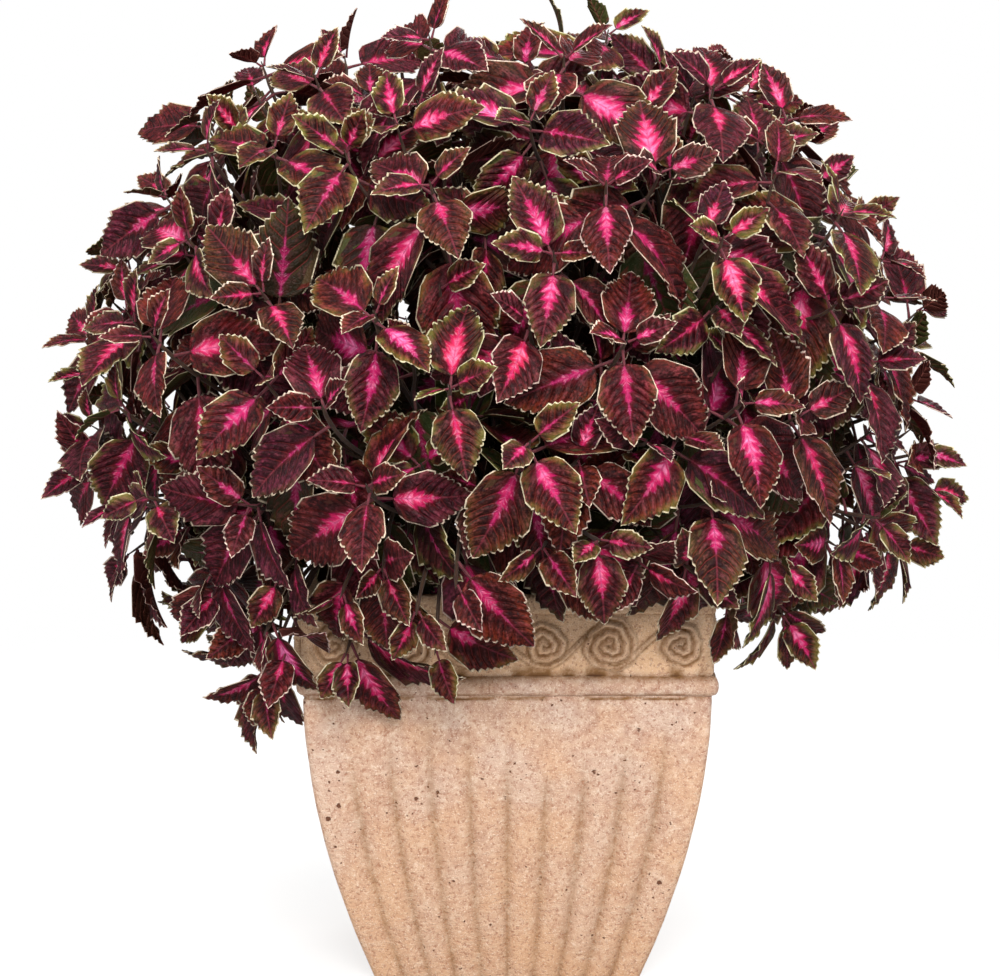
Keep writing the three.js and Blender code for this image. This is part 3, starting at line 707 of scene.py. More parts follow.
# %% Noise in millimetres on the blade
def leaf_noise(tree, here):
    """Patches, grain and a net of pillows, and streaks that are long along the side veins."""
    shift = add(tree, "Math", {0: here.tone, 1: LEAF_SHIFT_MM}, operation="MULTIPLY")
    spot = add(tree, "CombineXYZ", {0: here.side_mm, 1: here.along_mm, 2: shift})
    here.patches = add(tree, "TexNoise", {"Vector": spot, "Scale": 1 / PATCH_MM, "Detail": 3.0})
    here.grain = add(tree, "TexNoise", {"Vector": spot, "Scale": 1 / GRAIN_MM, "Detail": 3.0})
    cells = add(tree, "TexVoronoi", {"Vector": spot, "Scale": 1 / NET_MM}, feature="DISTANCE_TO_EDGE")
    here.pillows = add(tree, "MapRange", {0: cells, 1: 0.0, 2: 0.25, 4: 0.45}, **SMOOTH)
    run = []
    for by_rib, by_length in (
        (VEIN_COS / STREAK_MM, -VEIN_SIN / STREAK_MM),
        (VEIN_SIN / STREAK_RUN_MM, VEIN_COS / STREAK_RUN_MM),
    ):
        part = add(tree, "Math", {0: here.rib_mm, 1: by_rib}, operation="MULTIPLY")
        run.append(add(tree, "Math", {0: here.along_mm, 1: by_length, 2: part}, operation="MULTIPLY_ADD"))
    streak_spot = add(tree, "CombineXYZ", {0: run[0], 1: run[1], 2: shift})
    streaks = {"Vector": streak_spot, "Scale": 1.0, "Detail": 2.0, "Roughness": 0.6}
    here.streaks = add(tree, "TexNoise", streaks)


# %% The flame, from its dark edge to its pale heart
COOL_FLAME = [(0.0, "560a2e"), (0.2, "8c0e46"), (0.55, "b21a5a"), (1.0, "e070a4")]
WARM_FLAME = [(0.0, "660e1e"), (0.2, "9e122e"), (0.55, "c02046"), (1.0, "ea6a88")]
OLD_FLAME, FLAME_LIGHT, FLAME_SHADE = "5c0e34", "f2b4cc", "a8205a"


def flame_skin(tree, here):
    ragged = {0: here.patches, 1: FLAME_RAGGED, 2: -FLAME_RAGGED / 2}
    ragged = add(tree, "Math", ragged, operation="MULTIPLY_ADD")
    here.inside = add(tree, "Math", {0: here.flame, 1: ragged}, operation="ADD")
    here.in_flame = add(tree, "MapRange", {0: here.inside, 1: -0.03, 2: 0.06}, **SMOOTH)
    depth = add(tree, "MapRange", {0: here.inside, 1: 0.0, 2: 0.36})
    cool = add(tree, "ValToRGB", {0: depth}, stops=COOL_FLAME)
    warm = add(tree, "ValToRGB", {0: depth}, stops=WARM_FLAME)
    skin = add(tree, "Mix", {0: here.one, 6: cool, 7: warm}, **RGBA)
    skin = add(tree, "Mix", {0: here.oldness, 6: skin, 7: OLD_FLAME}, **RGBA)
    pale = add(tree, "MapRange", {0: here.streaks, 1: 0.5, 2: 0.68, 4: 0.2}, **SMOOTH)
    skin = add(tree, "Mix", {0: pale, 6: skin, 7: FLAME_LIGHT}, **RGBA)
    dim = add(tree, "MapRange", {0: here.streaks, 1: 0.48, 2: 0.32, 4: 0.45}, **SMOOTH)
    return add(tree, "Mix", {0: dim, 6: skin, 7: FLAME_SHADE}, **RGBA)


# %% The dark skin round the flame, streaked along the veins
WINE_TO_BROWN = [
    (0.0, "6a101a"), (0.2, "702a14"), (0.4, "501632"), (0.6, "681a16"), (0.8, "4e3414"), (1.0, "4c2038"),
]  # fmt: skip
OLD_SKIN = [(0.25, "1c110f"), (0.5, "2c3e1a")]
# The ridge colour is a painted highlight, laid on the pillows between the side veins.
BLACKISH, PAINTED_PILLOW_HIGHLIGHT, HALO, SIDE_VEIN, GREENED = "150304", "8a404a", "560a18", "7e2c2c", "7a7a34"


def dark_skin(tree, here):
    streak_colour = add(tree, "ValToRGB", {0: here.two}, stops=WINE_TO_BROWN)
    mottle = add(tree, "Math", {0: here.grain, 1: 0.7, 2: here.streaks}, operation="MULTIPLY_ADD")
    mottle = add(tree, "Math", {0: here.patches, 1: 0.7, 2: mottle}, operation="MULTIPLY_ADD")
    # Painted highlight: the pillows between the veins are lightened, as if they caught the light.
    pillow_highlight = add(tree, "MapRange", {0: mottle, 1: 1.12, 2: 1.55, 3: 0.03, 4: 0.42}, **SMOOTH)
    pillow_highlight = add(tree, "Math", {0: pillow_highlight, 1: here.between}, operation="MULTIPLY")
    outer = add(tree, "MapRange", {0: here.inside, 1: -0.14, 2: -0.6, 3: 0.12, 4: 1.0})
    mottle = add(tree, "MapRange", {0: mottle, 1: 0.92, 2: 1.58, 4: outer}, **SMOOTH)
    skin = add(tree, "Mix", {0: mottle, 6: BLACKISH, 7: streak_colour}, **RGBA)
    skin = add(tree, "Mix", {0: pillow_highlight, 6: skin, 7: PAINTED_PILLOW_HIGHLIGHT}, **RGBA)
    halo = add(tree, "MapRange", {0: here.inside, 1: -0.2, 2: 0.0, 4: 0.65}, **SMOOTH)
    skin = add(tree, "Mix", {0: halo, 6: skin, 7: HALO}, **RGBA)
    old_colour = add(tree, "ValToRGB", {0: here.one}, stops=OLD_SKIN)
    skin = add(tree, "Mix", {0: here.oldness, 6: skin, 7: old_colour}, **RGBA)
    vein_share = add(tree, "MapRange", {0: here.two, 1: 0.1, 2: 0.9, 3: 0.1, 4: 0.5})
    vein_share = add(tree, "Math", {0: here.vein, 1: vein_share}, operation="MULTIPLY")
    skin = add(tree, "Mix", {0: vein_share, 6: skin, 7: SIDE_VEIN}, **RGBA)
    near_margin = add(tree, "MapRange", {0: here.rim_mm, 1: GREEN_MM, 2: GREEN_CORE_MM}, **SMOOTH)
    greening = add(tree, "MapRange", {0: here.three, 1: 0.4, 2: 1.0, 3: 0.05, 4: 1.0})
    green = add(tree, "Math", {0: near_margin, 1: greening}, operation="MULTIPLY")
    greener = add(tree, "MapRange", {0: here.patches, 1: 0.38, 2: 0.62, 4: 0.85}, **SMOOTH)
    green = add(tree, "Math", {0: green, 1: greener}, operation="MULTIPLY")
    return add(tree, "Mix", {0: green, 6: skin, 7: GREENED}, **RGBA)


# %% The midrib, the pale margin and the underside
DARK_RIB, PINK_RIB = "6e2a35", "9a2f5c"
CREAM, LIME_CREAM = "e6c8bc", "ccc89a"
MATT_UNDERSIDE = [(0.35, "46221e"), (0.75, "3c4020")]
UNDER_VEIN = "8a5046"


def lines_and_underside(tree, here, skin):
    rib_share = add(tree, "Math", {0: here.rib, 1: 0.55}, operation="MULTIPLY")
    rib_colour = add(tree, "Mix", {0: here.in_flame, 6: DARK_RIB, 7: PINK_RIB}, **RGBA)
    skin = add(tree, "Mix", {0: rib_share, 6: skin, 7: rib_colour}, **RGBA)
    line = add(tree, "MapRange", {0: here.rim_mm, 1: MARGIN_MM, 2: MARGIN_CORE_MM}, **SMOOTH)
    strength = add(tree, "MapRange", {0: here.patches, 1: 0.3, 2: 0.6, 3: 0.35, 4: 1.0})
    line = add(tree, "Math", {0: line, 1: strength}, operation="MULTIPLY")
    cream = add(tree, "Mix", {0: here.three, 6: CREAM, 7: LIME_CREAM}, **RGBA)
    skin = add(tree, "Mix", {0: line, 6: skin, 7: cream}, **RGBA)
    lines = add(tree, "Math", {0: here.vein, 1: here.rib}, operation="MAXIMUM")
    lines = add(tree, "Math", {0: lines, 1: 0.6}, operation="MULTIPLY")
    matt = add(tree, "ValToRGB", {0: here.three}, stops=MATT_UNDERSIDE)
    below = add(tree, "Mix", {0: lines, 6: matt, 7: UNDER_VEIN}, **RGBA)
    return add(tree, "Mix", {0: here.under, 6: skin, 7: below}, **RGBA)


# %% Living leaf skin, quilted, its velvety sheen painted on the pillows
RUSTY_GLOW, PINK_GLOW = "963a18", "cc1650"


def leaf_skin():
    material, tree = new_material("living coleus leaf skin")
    here = leaf_facts(tree)
    leaf_noise(tree, here)
    flame = flame_skin(tree, here)
    skin = add(tree, "Mix", {0: here.in_flame, 6: dark_skin(tree, here), 7: flame}, **RGBA)
    skin = lines_and_underside(tree, here, skin)

    # Veins sink, and a fine net stands up between them.
    height = add(tree, "Math", {0: here.pillows, 1: here.vein}, operation="SUBTRACT")
    height = add(tree, "Math", {0: height, 1: here.between}, operation="ADD")
    bump = add(tree, "Bump", {"Strength": 0.8, "Distance": NET_RELIEF_MM * MM, "Height": height})
    rough = add(tree, "MapRange", {0: here.grain, 1: 0.3, 2: 0.7, 3: 0.42, 4: 0.6})
    finish = {"Base Color": skin, "Roughness": rough, "Normal": bump, "Specular IOR Level": 0.1}
    solid = add(tree, "BsdfPrincipled", finish)
    glow = add(tree, "Mix", {0: here.in_flame, 6: RUSTY_GLOW, 7: PINK_GLOW}, **RGBA)
    thin = add(tree, "BsdfTranslucent", {"Color": glow, "Normal": bump})
    add(tree, "OutputMaterial", {0: add(tree, "MixShader", {0: LET_THROUGH, 1: solid, 2: thin})})
    return material


# %% Downy stalk and stem skin
STALK_STREAK_MM = 5.0
STALK_SHIFT = 91.0  # moves the noise on from stalk to stalk
DOWN_RELIEF_MM = 0.3
YOUNG_STALK = [(0.3, "47161f"), (0.7, "6c2a36")]
OLD_STALK = [(0.3, "1a120c"), (0.7, "2e3018")]


def stalk_skin():
    material, tree = new_material("downy coleus stalk skin")
    turn, run_mm, _ = add(
        tree, "SeparateXYZ", {0: add(tree, "Attribute", out=1, attribute_name="where")}
    ).node.outputs
    tone, age, _ = add(
        tree, "SeparateXYZ", {0: add(tree, "Attribute", out=1, attribute_name="leaf")}
    ).node.outputs
    run = add(tree, "Math", {0: run_mm, 1: 1 / STALK_STREAK_MM}, operation="MULTIPLY")
    shift = add(tree, "Math", {0: tone, 1: STALK_SHIFT}, operation="MULTIPLY")
    spot = add(tree, "CombineXYZ", {0: turn, 1: run, 2: shift})
    streaks = add(tree, "TexNoise", {"Vector": spot, "Scale": 1.0, "Detail": 2.0})
    young = add(tree, "ValToRGB", {0: streaks}, stops=YOUNG_STALK)
    old = add(tree, "ValToRGB", {0: streaks}, stops=OLD_STALK)
    skin = add(tree, "Mix", {0: age, 6: young, 7: old}, **RGBA)
    bump = add(tree, "Bump", {"Strength": 0.5, "Distance": DOWN_RELIEF_MM * MM, "Height": streaks})
    finish = {"Base Color": skin, "Roughness": 0.6, "Normal": bump}
    finish |= {"Sheen Weight": 0.05, "Specular IOR Level": 0.2}
    add(tree, "OutputMaterial", {0: add(tree, "BsdfPrincipled", finish)})
    return material


FOLIAGE = [leaf_skin(), stalk_skin()]
print("leaf skin nodes:", len(FOLIAGE[0].node_tree.nodes))


# %% [markdown]
# Close up, a coleus blade is a quilted sheet: side veins run out to the scalloped margin, the skin between
# them stands up in pillows, and the margin waves. A flat card with a picture would lose all of that at the
# first raking light. Here each blade is a closed sheet half a millimetre thick whose rows follow the side
# veins, so that every scallop, pillow and vein has points of its own.

# %% Meshes from grids of points
class Build:
    """Collects grids of points with their facts, and turns them into one mesh object."""

    FACTS = ("marks", "where", "leaf")  # each three numbers at every point

    def __init__(self):
        self.points, self.facts, self.faces, self.slots, self.smooth = [], [], [], [], []
        self.count = 0

    def add(self, points, facts, faces, slot, smooth):
        self.points.append(points)
        self.facts.append(facts)
        self.faces.append(faces + self.count)
        self.slots.append(np.full(len(faces), slot))
        self.smooth.append(smooth)
        self.count += len(points)

    def piece(self, name, materials):
        points = np.concatenate(self.points) * MM
        faces = np.concatenate(self.faces)
        mesh = bpy.data.meshes.new(name)
        mesh.vertices.add(len(points))
        mesh.vertices.foreach_set("co", points.astype(np.float32).ravel())
        mesh.loops.add(faces.size)
        mesh.loops.foreach_set("vertex_index", faces.astype(np.int32).ravel())
        mesh.polygons.add(len(faces))
        mesh.polygons.foreach_set("loop_start", np.arange(0, faces.size, 4, dtype=np.int32))
        mesh.polygons.foreach_set("material_index", np.concatenate(self.slots).astype(np.int32))
        mesh.polygons.foreach_set("use_smooth", np.concatenate(self.smooth))
        facts = np.concatenate(self.facts)
        for number, fact in enumerate(self.FACTS):
            layer = mesh.attributes.new(fact, "FLOAT_VECTOR", "POINT")
            layer.data.foreach_set("vector", facts[:, number].astype(np.float32).ravel())
        mesh.update(calc_edges=True)
        for material in materials:
            mesh.materials.append(material)
        made = bpy.data.objects.new(name, mesh)
        bpy.context.scene.collection.objects.link(made)
        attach(made, "root")
        return made


def sheet_faces(rows, columns, first=0):
    """Quads over a grid of points that is stored row by row."""
    r, c = np.meshgrid(np.arange(rows - 1), np.arange(columns - 1), indexing="ij")
    a = (r * columns + c).ravel() + first
    return np.stack([a, a + 1, a + columns + 1, a + columns], axis=1)


def tube_faces(rings, sides):
    r, c = np.meshgrid(np.arange(rings - 1), np.arange(sides), indexing="ij")
    low = r * sides
    a, b = (low + c).ravel(), (low + (c + 1) % sides).ravel()
    return np.stack([a, b, b + sides, a + sides], axis=1)


print("faces on a sheet of 3 by 4 points:", len(sheet_faces(3, 4)), "on a tube:", len(tube_faces(3, 4)))


# %% Sizes of a blade
LOBE_DEPTH, LOBE_FORWARD = 0.044, 0.022  # of the blade's length
LOBE_EVERY = 21.0  # millimetres of blade for each further lobe
VEIN_SLANT = 0.44
VEINS_FROM, VEINS_TO = 0.03, 0.96  # of the blade's length
STANDARD_BLADE = 80  # that the relief is given for
BLADE_THICK = 0.5
RIB_THICK = 1.2
QUILT_MM, WAVE_MM, SCALLOP_MM, GROOVE_MM = 1.1, 2.2, 0.8, 0.7
FINE = {"columns": [-1, -0.84, -0.45, 0, 0.45, 0.84, 1], "phases": (0, 0.4, 0.76), "lobes": 3.8}
PLAIN = {"columns": [-1, -0.82, -0.42, 0, 0.42, 0.82, 1], "phases": (0, 0.5), "lobes": 3.8}
SMALL = {"columns": [-1, -0.65, 0, 0.65, 1], "phases": (0, 0.5), "lobes": 3.2}
LARGE_BLADE, SMALL_BLADE = 45.0, 60.0  # the smallest that get FINE sheets and PLAIN ones
print("lobes along a standard blade:", round(FINE["lobes"] + STANDARD_BLADE / LOBE_EVERY))


# %% Blades
def flame_depth(along, lobe, w, draw):
    """How deep in the pink flame a point is, as a share of the half width. It is below 0 outside."""
    length, reach = draw(0.42, 0.86), draw(0.26, 0.74)
    taper = np.clip(1 - along / length, 0, 1) ** 0.5 * smoothstep(along, -0.08, 0.2)
    near_vein = np.abs(lobe - np.floor(lobe) - 0.5) * 2
    return reach * taper * (0.62 + 0.5 * near_vein) - 0.1 - w


def blade_sheet(leaf, detail, draw):
    """Rows and columns of points over the blade, with what the colours need to know of each."""
    lobes = round(detail["lobes"] + leaf.blade / LOBE_EVERY)
    step = (VEINS_TO - VEINS_FROM) / lobes
    rows = [VEINS_FROM + step * (k + phase) for k in range(lobes) for phase in detail["phases"]]
    w, s = np.meshgrid(detail["columns"], [0, 0.012, *rows, VEINS_TO, 0.985, 1])
    hand, w = np.sign(w), np.abs(w)
    lobe = (s - VEINS_FROM) / step
    phase = lobe - np.floor(lobe)
    crest = np.sin(np.pi * phase**1.35) ** 0.6
    crest[(s < VEINS_FROM) | (s > VEINS_TO)] = 0.5
    edge = w**5
    along = s + VEIN_SLANT * np.minimum(s / 0.1, 1) * (1 - s) * w**1.1
    along = np.clip(along + LOBE_FORWARD * crest * edge * (s < VEINS_TO), 0, 1)
    half = leaf.half_width(along) * (1 + 0.05 * edge)
    half -= np.minimum(LOBE_DEPTH * leaf.blade, 0.4 * half) * (1 - crest) * edge
    half = np.maximum(half, np.where(s < 0.1, 1.3, 0.12))
    size = leaf.blade / STANDARD_BLADE
    curl, twist, start = draw(-0.05, 0.16), draw(-0.16, 0.16), draw(0, 1)
    fold = math.radians(FOLD)
    pillow = -np.cos(2 * np.pi * phase)
    wave = np.sin(2 * np.pi * (2.3 * s + start + 0.37 * hand)) * np.minimum(half / 12, 1)
    lift = half * w * (math.sin(fold) - curl * w + hand * twist * along)
    lift += size * (QUILT_MM * pillow * w**0.6 * (1 - w**4) + SCALLOP_MM * edge * pillow) * (along < 0.95)
    lift += size * (WAVE_MM * w**3 * wave - GROOVE_MM * np.exp(-((w / 0.13) ** 2)))
    near_vein = np.abs(phase - 0.5) * 2 * (along > 0.05) * (along < 0.97)
    rim_mm = (1 - w) * half + 9 * (along < 0.03)
    marks = np.stack([flame_depth(along, lobe, w, draw), near_vein, rim_mm], -1)
    where = np.stack([half * w * hand, along * leaf.blade, half * w], -1)
    return along, half * w * hand * math.cos(fold), lift, np.stack([marks, where], -2)


def add_blade(build, leaf, detail, draw):
    along, side, lift, facts = blade_sheet(leaf, detail, draw)
    rows, columns = along.shape
    count = rows * columns
    thick = BLADE_THICK + RIB_THICK * np.exp(-((side / 1.3) ** 2)) * (1 - along)
    points = np.concatenate([leaf.at(along, side, at).reshape(-1, 3) for at in (lift, lift - thick)])
    facts = np.tile(facts.reshape(-1, 2, 3), (2, 1, 1))
    kind = np.empty((2 * count, 1, 3))
    kind[:] = leaf.tone, leaf.age, 0
    kind[count:, 0, 2] = 1
    upper, lower = sheet_faces(rows, columns)[:, ::-1], sheet_faces(rows, columns, count)
    margin = [r * columns for r in range(rows)] + [(rows - 1) * columns + c for c in range(1, columns)]
    margin += [r * columns - 1 for r in range(rows - 1, 0, -1)] + list(range(columns - 2, 0, -1))
    margin = np.array(margin)
    onward = np.roll(margin, -1)
    rim = np.stack([margin, margin + count, onward + count, onward], axis=1)
    faces = np.concatenate([upper, lower, rim])
    smooth = np.arange(len(faces)) < len(faces) - len(rim)
    build.add(points, np.concatenate([facts, kind], axis=1), faces, 0, smooth)


# %% Stalks and square stems
STALK_RADIUS = 1.5
STALK_SWELLS = np.array([1.25, 0.98, 0.92, 0.45])  # from the stem to inside the blade
STALK_UNDER = 0.75  # below the blade's middle sheet
NODE_SWELLING, NODE_REACH = 0.25, 0.015
STEM_SIDES, STALK_SIDES = 8, 5
STATIONS, SIDE_STATIONS = 26, 11
OLDER_AGE = 0.62
print("points round a stem:", STEM_SIDES, "round a stalk:", STALK_SIDES)


def add_tube(build, centres, firsts, seconds, radii, leaf_facts, square=0.0):
    """A tube round a row of centres. `square` is how far its section is from round."""
    count = STEM_SIDES if square else STALK_SIDES
    turn = (np.arange(count) + 0.5) * 2 * np.pi / count
    out = 1 / np.maximum(np.abs(np.cos(turn)), np.abs(np.sin(turn))) ** square
    centres, firsts, seconds = (np.array(a)[:, None] for a in (centres, firsts, seconds))
    spokes = (out * np.cos(turn))[:, None] * firsts + (out * np.sin(turn))[:, None] * seconds
    points = centres + np.array(radii)[:, None, None] * spokes
    run = np.append(0, np.cumsum(np.sqrt(((centres[1:] - centres[:-1]) ** 2).sum((1, 2)))))
    facts = np.zeros((len(radii), count, 3, 3))
    facts[..., 1, 0] = turn
    facts[..., 1, 1] = run[:, None]
    facts[..., 2, :] = leaf_facts
    faces = tube_faces(len(radii), count)
    build.add(points.reshape(-1, 3), facts.reshape(-1, 3, 3), faces, 1, np.full(len(faces), True))


def add_stalk(build, leaf):
    rings = len(STALK_SWELLS)
    along = np.linspace(-leaf.stalk / leaf.blade * 1.08, 0.05, rings)
    radius = STALK_RADIUS * (leaf.blade / LARGE_LEAF) ** 0.5
    centres = leaf.at(along, np.zeros(rings), np.full(rings, -STALK_UNDER - 0.4 * radius))
    facts = (leaf.tone, leaf.age * 0.7, 0)
    faces_up = leaf.face_at(leaf.angle(along))
    add_tube(build, centres, [leaf.across] * rings, faces_up, radius * STALK_SWELLS, facts)


def add_stem(build, stem):
    main = stem.thick == 1.0
    stations = np.linspace(0, 1, STATIONS if main else SIDE_STATIONS)
    frames = stem.frames([-1, *stations] if main else stations)
    nodes = [stem.below_tip(pair["below"]) for pair in PAIRS + OLDER_PAIRS]
    centres = [here["at"] - UP * (ROOT_DEPTH if here["t"] < 0 else 0) for here in frames]
    swelling = [sum(math.exp(-(((here["t"] - t) / NODE_REACH) ** 2)) for t in nodes) for here in frames]
    radii = [stem.half(here["t"]) * (1 + NODE_SWELLING * swell) for here, swell in zip(frames, swelling)]
    radii[-1] *= 0.3
    sides = [here["side"] for here in frames]
    across = [here["across"] for here in frames]
    add_tube(build, centres, sides, across, radii, (stem.tone, 0.8, 0), square=0.6)


# %% Whole shoots
LOOKS_SEEDS = (7207, 977)


def detail_for(stem, leaf):
    """The outer leaves of main stems get the finest sheets, and small and shaded ones the plainest."""
    if leaf.age > OLDER_AGE:
        return SMALL
    if stem.thick == 1.0:
        return FINE if leaf.blade > LARGE_BLADE else SMALL
    return PLAIN if leaf.blade > SMALL_BLADE else SMALL


def add_shoot(build, stem, number):
    """A stem with all its leaves, each with its own seeded differences."""
    draw = draws_from(number, *LOOKS_SEEDS)
    stem.tone = draw(0, 1)
    add_stem(build, stem)
    for leaf in stem.leaves:
        leaf.tone = (math.floor(stem.tone * SHOOT_TONES) + draw(0, 1)) / SHOOT_TONES
        add_blade(build, leaf, detail_for(stem, leaf), draw)
        add_stalk(build, leaf)


# %% [markdown]
# Each leafy stem of the frame now gets its fine piece, which hides the solid and stands for it. The side
# shoots go in groups by their place round the pot, so that no piece grows too heavy.

# %% Leafy stems
SIDE_GROUPS = 8

for number, stem in enumerate(stems):
    build = Build()
    add_shoot(build, stem, number)
    piece = build.piece(f"coleus_stem_{number + 1:02d}", FOLIAGE)
    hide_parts(f"leafy_stem_{number + 1:02d}")
groups = [Build() for _ in range(SIDE_GROUPS)]
for number, shoot in enumerate(side_shoots):
    turn = math.atan2(shoot.path[3][1], shoot.path[3][0]) / (2 * math.pi) % 1
    add_shoot(groups[int(turn * SIDE_GROUPS)], shoot, len(stems) + number)
for number, group in enumerate(groups):
    group.piece(f"side_shoots_{number + 1}", FOLIAGE)
print("leafy stems and side shoots:", round(time.time() - started, 1), "s")


# %% [markdown]
# The planter is pressed terracotta that has stood outdoors: a sandy, pinkish buff with small dark pits,
# pale lime bloom, and dirt with painted shade in every groove. A turned pot would be a curve spun round an
# axis, but this one is square, so a ring of points round the four faces is repeated at each height of a
# profile, and every ornament is a formula that moves the points in or out: the reeds, which fade under
# the bead, the coiled roses and the scrolls.

# %% Weathered terracotta: its sizes
BLOTCH_MM, MOTTLE_MM, FLECK_MM, SAND_MM = 42.0, 7.0, 2.8, 1.2
PIT_MM, SMALL_PIT_MM = 9.0, 4.2  # the cell that each pit lies in
PIT_RARITY, SMALL_PIT_RARITY = 0.68, 0.56  # the share of cells that stay bare
PIT_REACH = 0.27  # the widest pit's radius, as a share of its cell
PIT_BEND_MM = 3.0  # how far the noise pulls a pit out of round
RELIEF_MM = 1.3
DAMP_TO, PAINTED_LIGHT_FROM = 0.24, 0.262  # metres up: the body below is damp, and from the bead's top up the clay is painted lighter against the crown's shadow
print("terracotta: blotches", BLOTCH_MM, "mm, sand", SAND_MM, "mm")


# %% Clay, grit and sand
SANDY_CLAY = [(0.3, "a27c69"), (0.43, "b89480"), (0.57, "c5a690"), (0.72, "d7c1af")]
YELLOW_CLAY, LIME_BLOOM, DAMP_CLAY, FRIEZE_PAINTED_LIGHT = "cca280", "cab3a4", "d0a074", "e8be8e"
GRIT, SAND = "945f46", "f2e0cc"


def clay_noise(tree):
    place = add(tree, "TexCoord", out=3)
    clay = SimpleNamespace(place=place)
    for name, size_mm, detail, roughness in (
        ("blotches", BLOTCH_MM, 3.0, 0.5),
        ("mottle", MOTTLE_MM, 5.0, 0.65),
        ("flecks", FLECK_MM, 3.0, 0.6),
        ("sand", SAND_MM, 2.0, 0.7),
    ):
        waves = {"Vector": place, "Scale": 1 / (size_mm * MM), "Detail": detail, "Roughness": roughness}
        setattr(clay, name, add(tree, "TexNoise", waves))
    return clay


def clay_colour(tree, clay):
    """Sandy clay, yellower or limier in large blotches, damp toward the foot, painted lighter on the frieze
    and lip, with grit and sand in it.
    """
    skin = add(tree, "ValToRGB", {0: clay.mottle}, stops=SANDY_CLAY)
    yellow = add(tree, "MapRange", {0: clay.blotches, 1: 0.46, 2: 0.66, 4: 0.45}, **SMOOTH)
    skin = add(tree, "Mix", {0: yellow, 6: skin, 7: YELLOW_CLAY}, **RGBA)
    lime = add(tree, "MapRange", {0: clay.blotches, 1: 0.5, 2: 0.34, 4: 0.4}, **SMOOTH)
    skin = add(tree, "Mix", {0: lime, 6: skin, 7: LIME_BLOOM}, **RGBA)
    height = add(tree, "SeparateXYZ", {0: clay.place}, out=2)
    damp = add(tree, "MapRange", {0: height, 1: DAMP_TO, 2: 0.0, 4: 0.45})
    skin = add(tree, "Mix", {0: damp, 6: skin, 7: DAMP_CLAY}, **RGBA)
    # Painted light: from the bead's top up, the frieze and lip are lightened to lift the shadow that the
    # crown casts there.
    frieze_light = add(tree, "MapRange", {0: height, 1: PAINTED_LIGHT_FROM, 2: 0.27, 4: 0.45})
    skin = add(tree, "Mix", {0: frieze_light, 6: skin, 7: FRIEZE_PAINTED_LIGHT}, **RGBA)
    grit = add(tree, "MapRange", {0: clay.flecks, 1: 0.54, 2: 0.64, 4: 0.62})
    skin = add(tree, "Mix", {0: grit, 6: skin, 7: GRIT}, **RGBA)
    shine = add(tree, "MapRange", {0: clay.sand, 1: 0.55, 2: 0.7, 4: 0.6})
    return add(tree, "Mix", {0: shine, 6: skin, 7: SAND}, **RGBA)


# %% Pits of two sizes, in swarms with bare clay between them
def clay_pits(tree, clay):
    swarm = add(tree, "MapRange", {0: clay.blotches, 1: 0.42, 2: 0.56, 3: 1.0, 4: 0.75})
    shaken = add(tree, "TexNoise", {"Vector": clay.place, "Scale": 1 / (FLECK_MM * MM)}, out=1)
    bent = {0: shaken, 1: (PIT_BEND_MM * MM,) * 3, 2: clay.place}
    bent = add(tree, "VectorMath", bent, operation="MULTIPLY_ADD")
    pit = None
    for cell_mm, rarity in ((PIT_MM, PIT_RARITY), (SMALL_PIT_MM, SMALL_PIT_RARITY)):
        vector = {"Vector": bent, "Scale": 1 / (cell_mm * MM)}
        chance = add(tree, "SeparateColor", {0: add(tree, "TexVoronoi", vector, out=1)})
        chance = add(tree, "Math", {0: chance, 1: swarm}, operation="MULTIPLY")
        width = add(tree, "MapRange", {0: chance, 1: rarity, 2: 1.0, 3: 0.0, 4: PIT_REACH})
        depth = add(tree, "Math", {0: width, 1: add(tree, "TexVoronoi", vector)}, operation="SUBTRACT")
        hole = add(tree, "MapRange", {0: depth, 1: 0.0, 2: 0.05})
        pit = add(tree, "Math", {0: pit, 1: hole}, operation="MAXIMUM") if pit else hole
    return pit


# %% Weathered terracotta
PIT_SHADE, GROOVE_DIRT_AND_SHADE, CRACK = "643e2c", "805a34", "46281a"


def weathered_terracotta():
    material, tree = new_material("weathered sandy terracotta")
    clay = clay_noise(tree)
    pit = clay_pits(tree, clay)
    skin = add(tree, "Mix", {0: pit, 6: clay_colour(tree, clay), 7: PIT_SHADE}, **RGBA)
    groove = add(tree, "SeparateXYZ", {0: add(tree, "Attribute", out=1, attribute_name="marks")})
    # Painted shade: grooves, recesses and edges are browned, partly dirt and partly the shade that falls in
    # them.
    patchy = add(tree, "MapRange", {0: clay.mottle, 1: 0.3, 2: 0.7, 3: 1.15, 4: 0.55})
    dirt_and_shade = add(tree, "Math", {0: groove, 1: patchy}, operation="MULTIPLY", use_clamp=True)
    skin = add(tree, "Mix", {0: dirt_and_shade, 6: skin, 7: GROOVE_DIRT_AND_SHADE}, **RGBA)
    crack = add(tree, "MapRange", {0: groove, 1: 1.0, 2: 1.4, 4: 0.85})
    skin = add(tree, "Mix", {0: crack, 6: skin, 7: CRACK}, **RGBA)
    relief = add(tree, "Math", {0: clay.sand, 1: pit}, operation="SUBTRACT")
    relief = add(tree, "Math", {0: relief, 1: clay.flecks}, operation="SUBTRACT")
    bump = add(tree, "Bump", {"Strength": 1.0, "Distance": RELIEF_MM * MM, "Height": relief})
    finish = {"Base Color": skin, "Roughness": 0.9, "Normal": bump, "Specular IOR Level": 0.25}
    add(tree, "OutputMaterial", {0: add(tree, "BsdfPrincipled", finish)})
    return material


TERRACOTTA = weathered_terracotta()
print("terracotta nodes:", len(TERRACOTTA.node_tree.nodes))


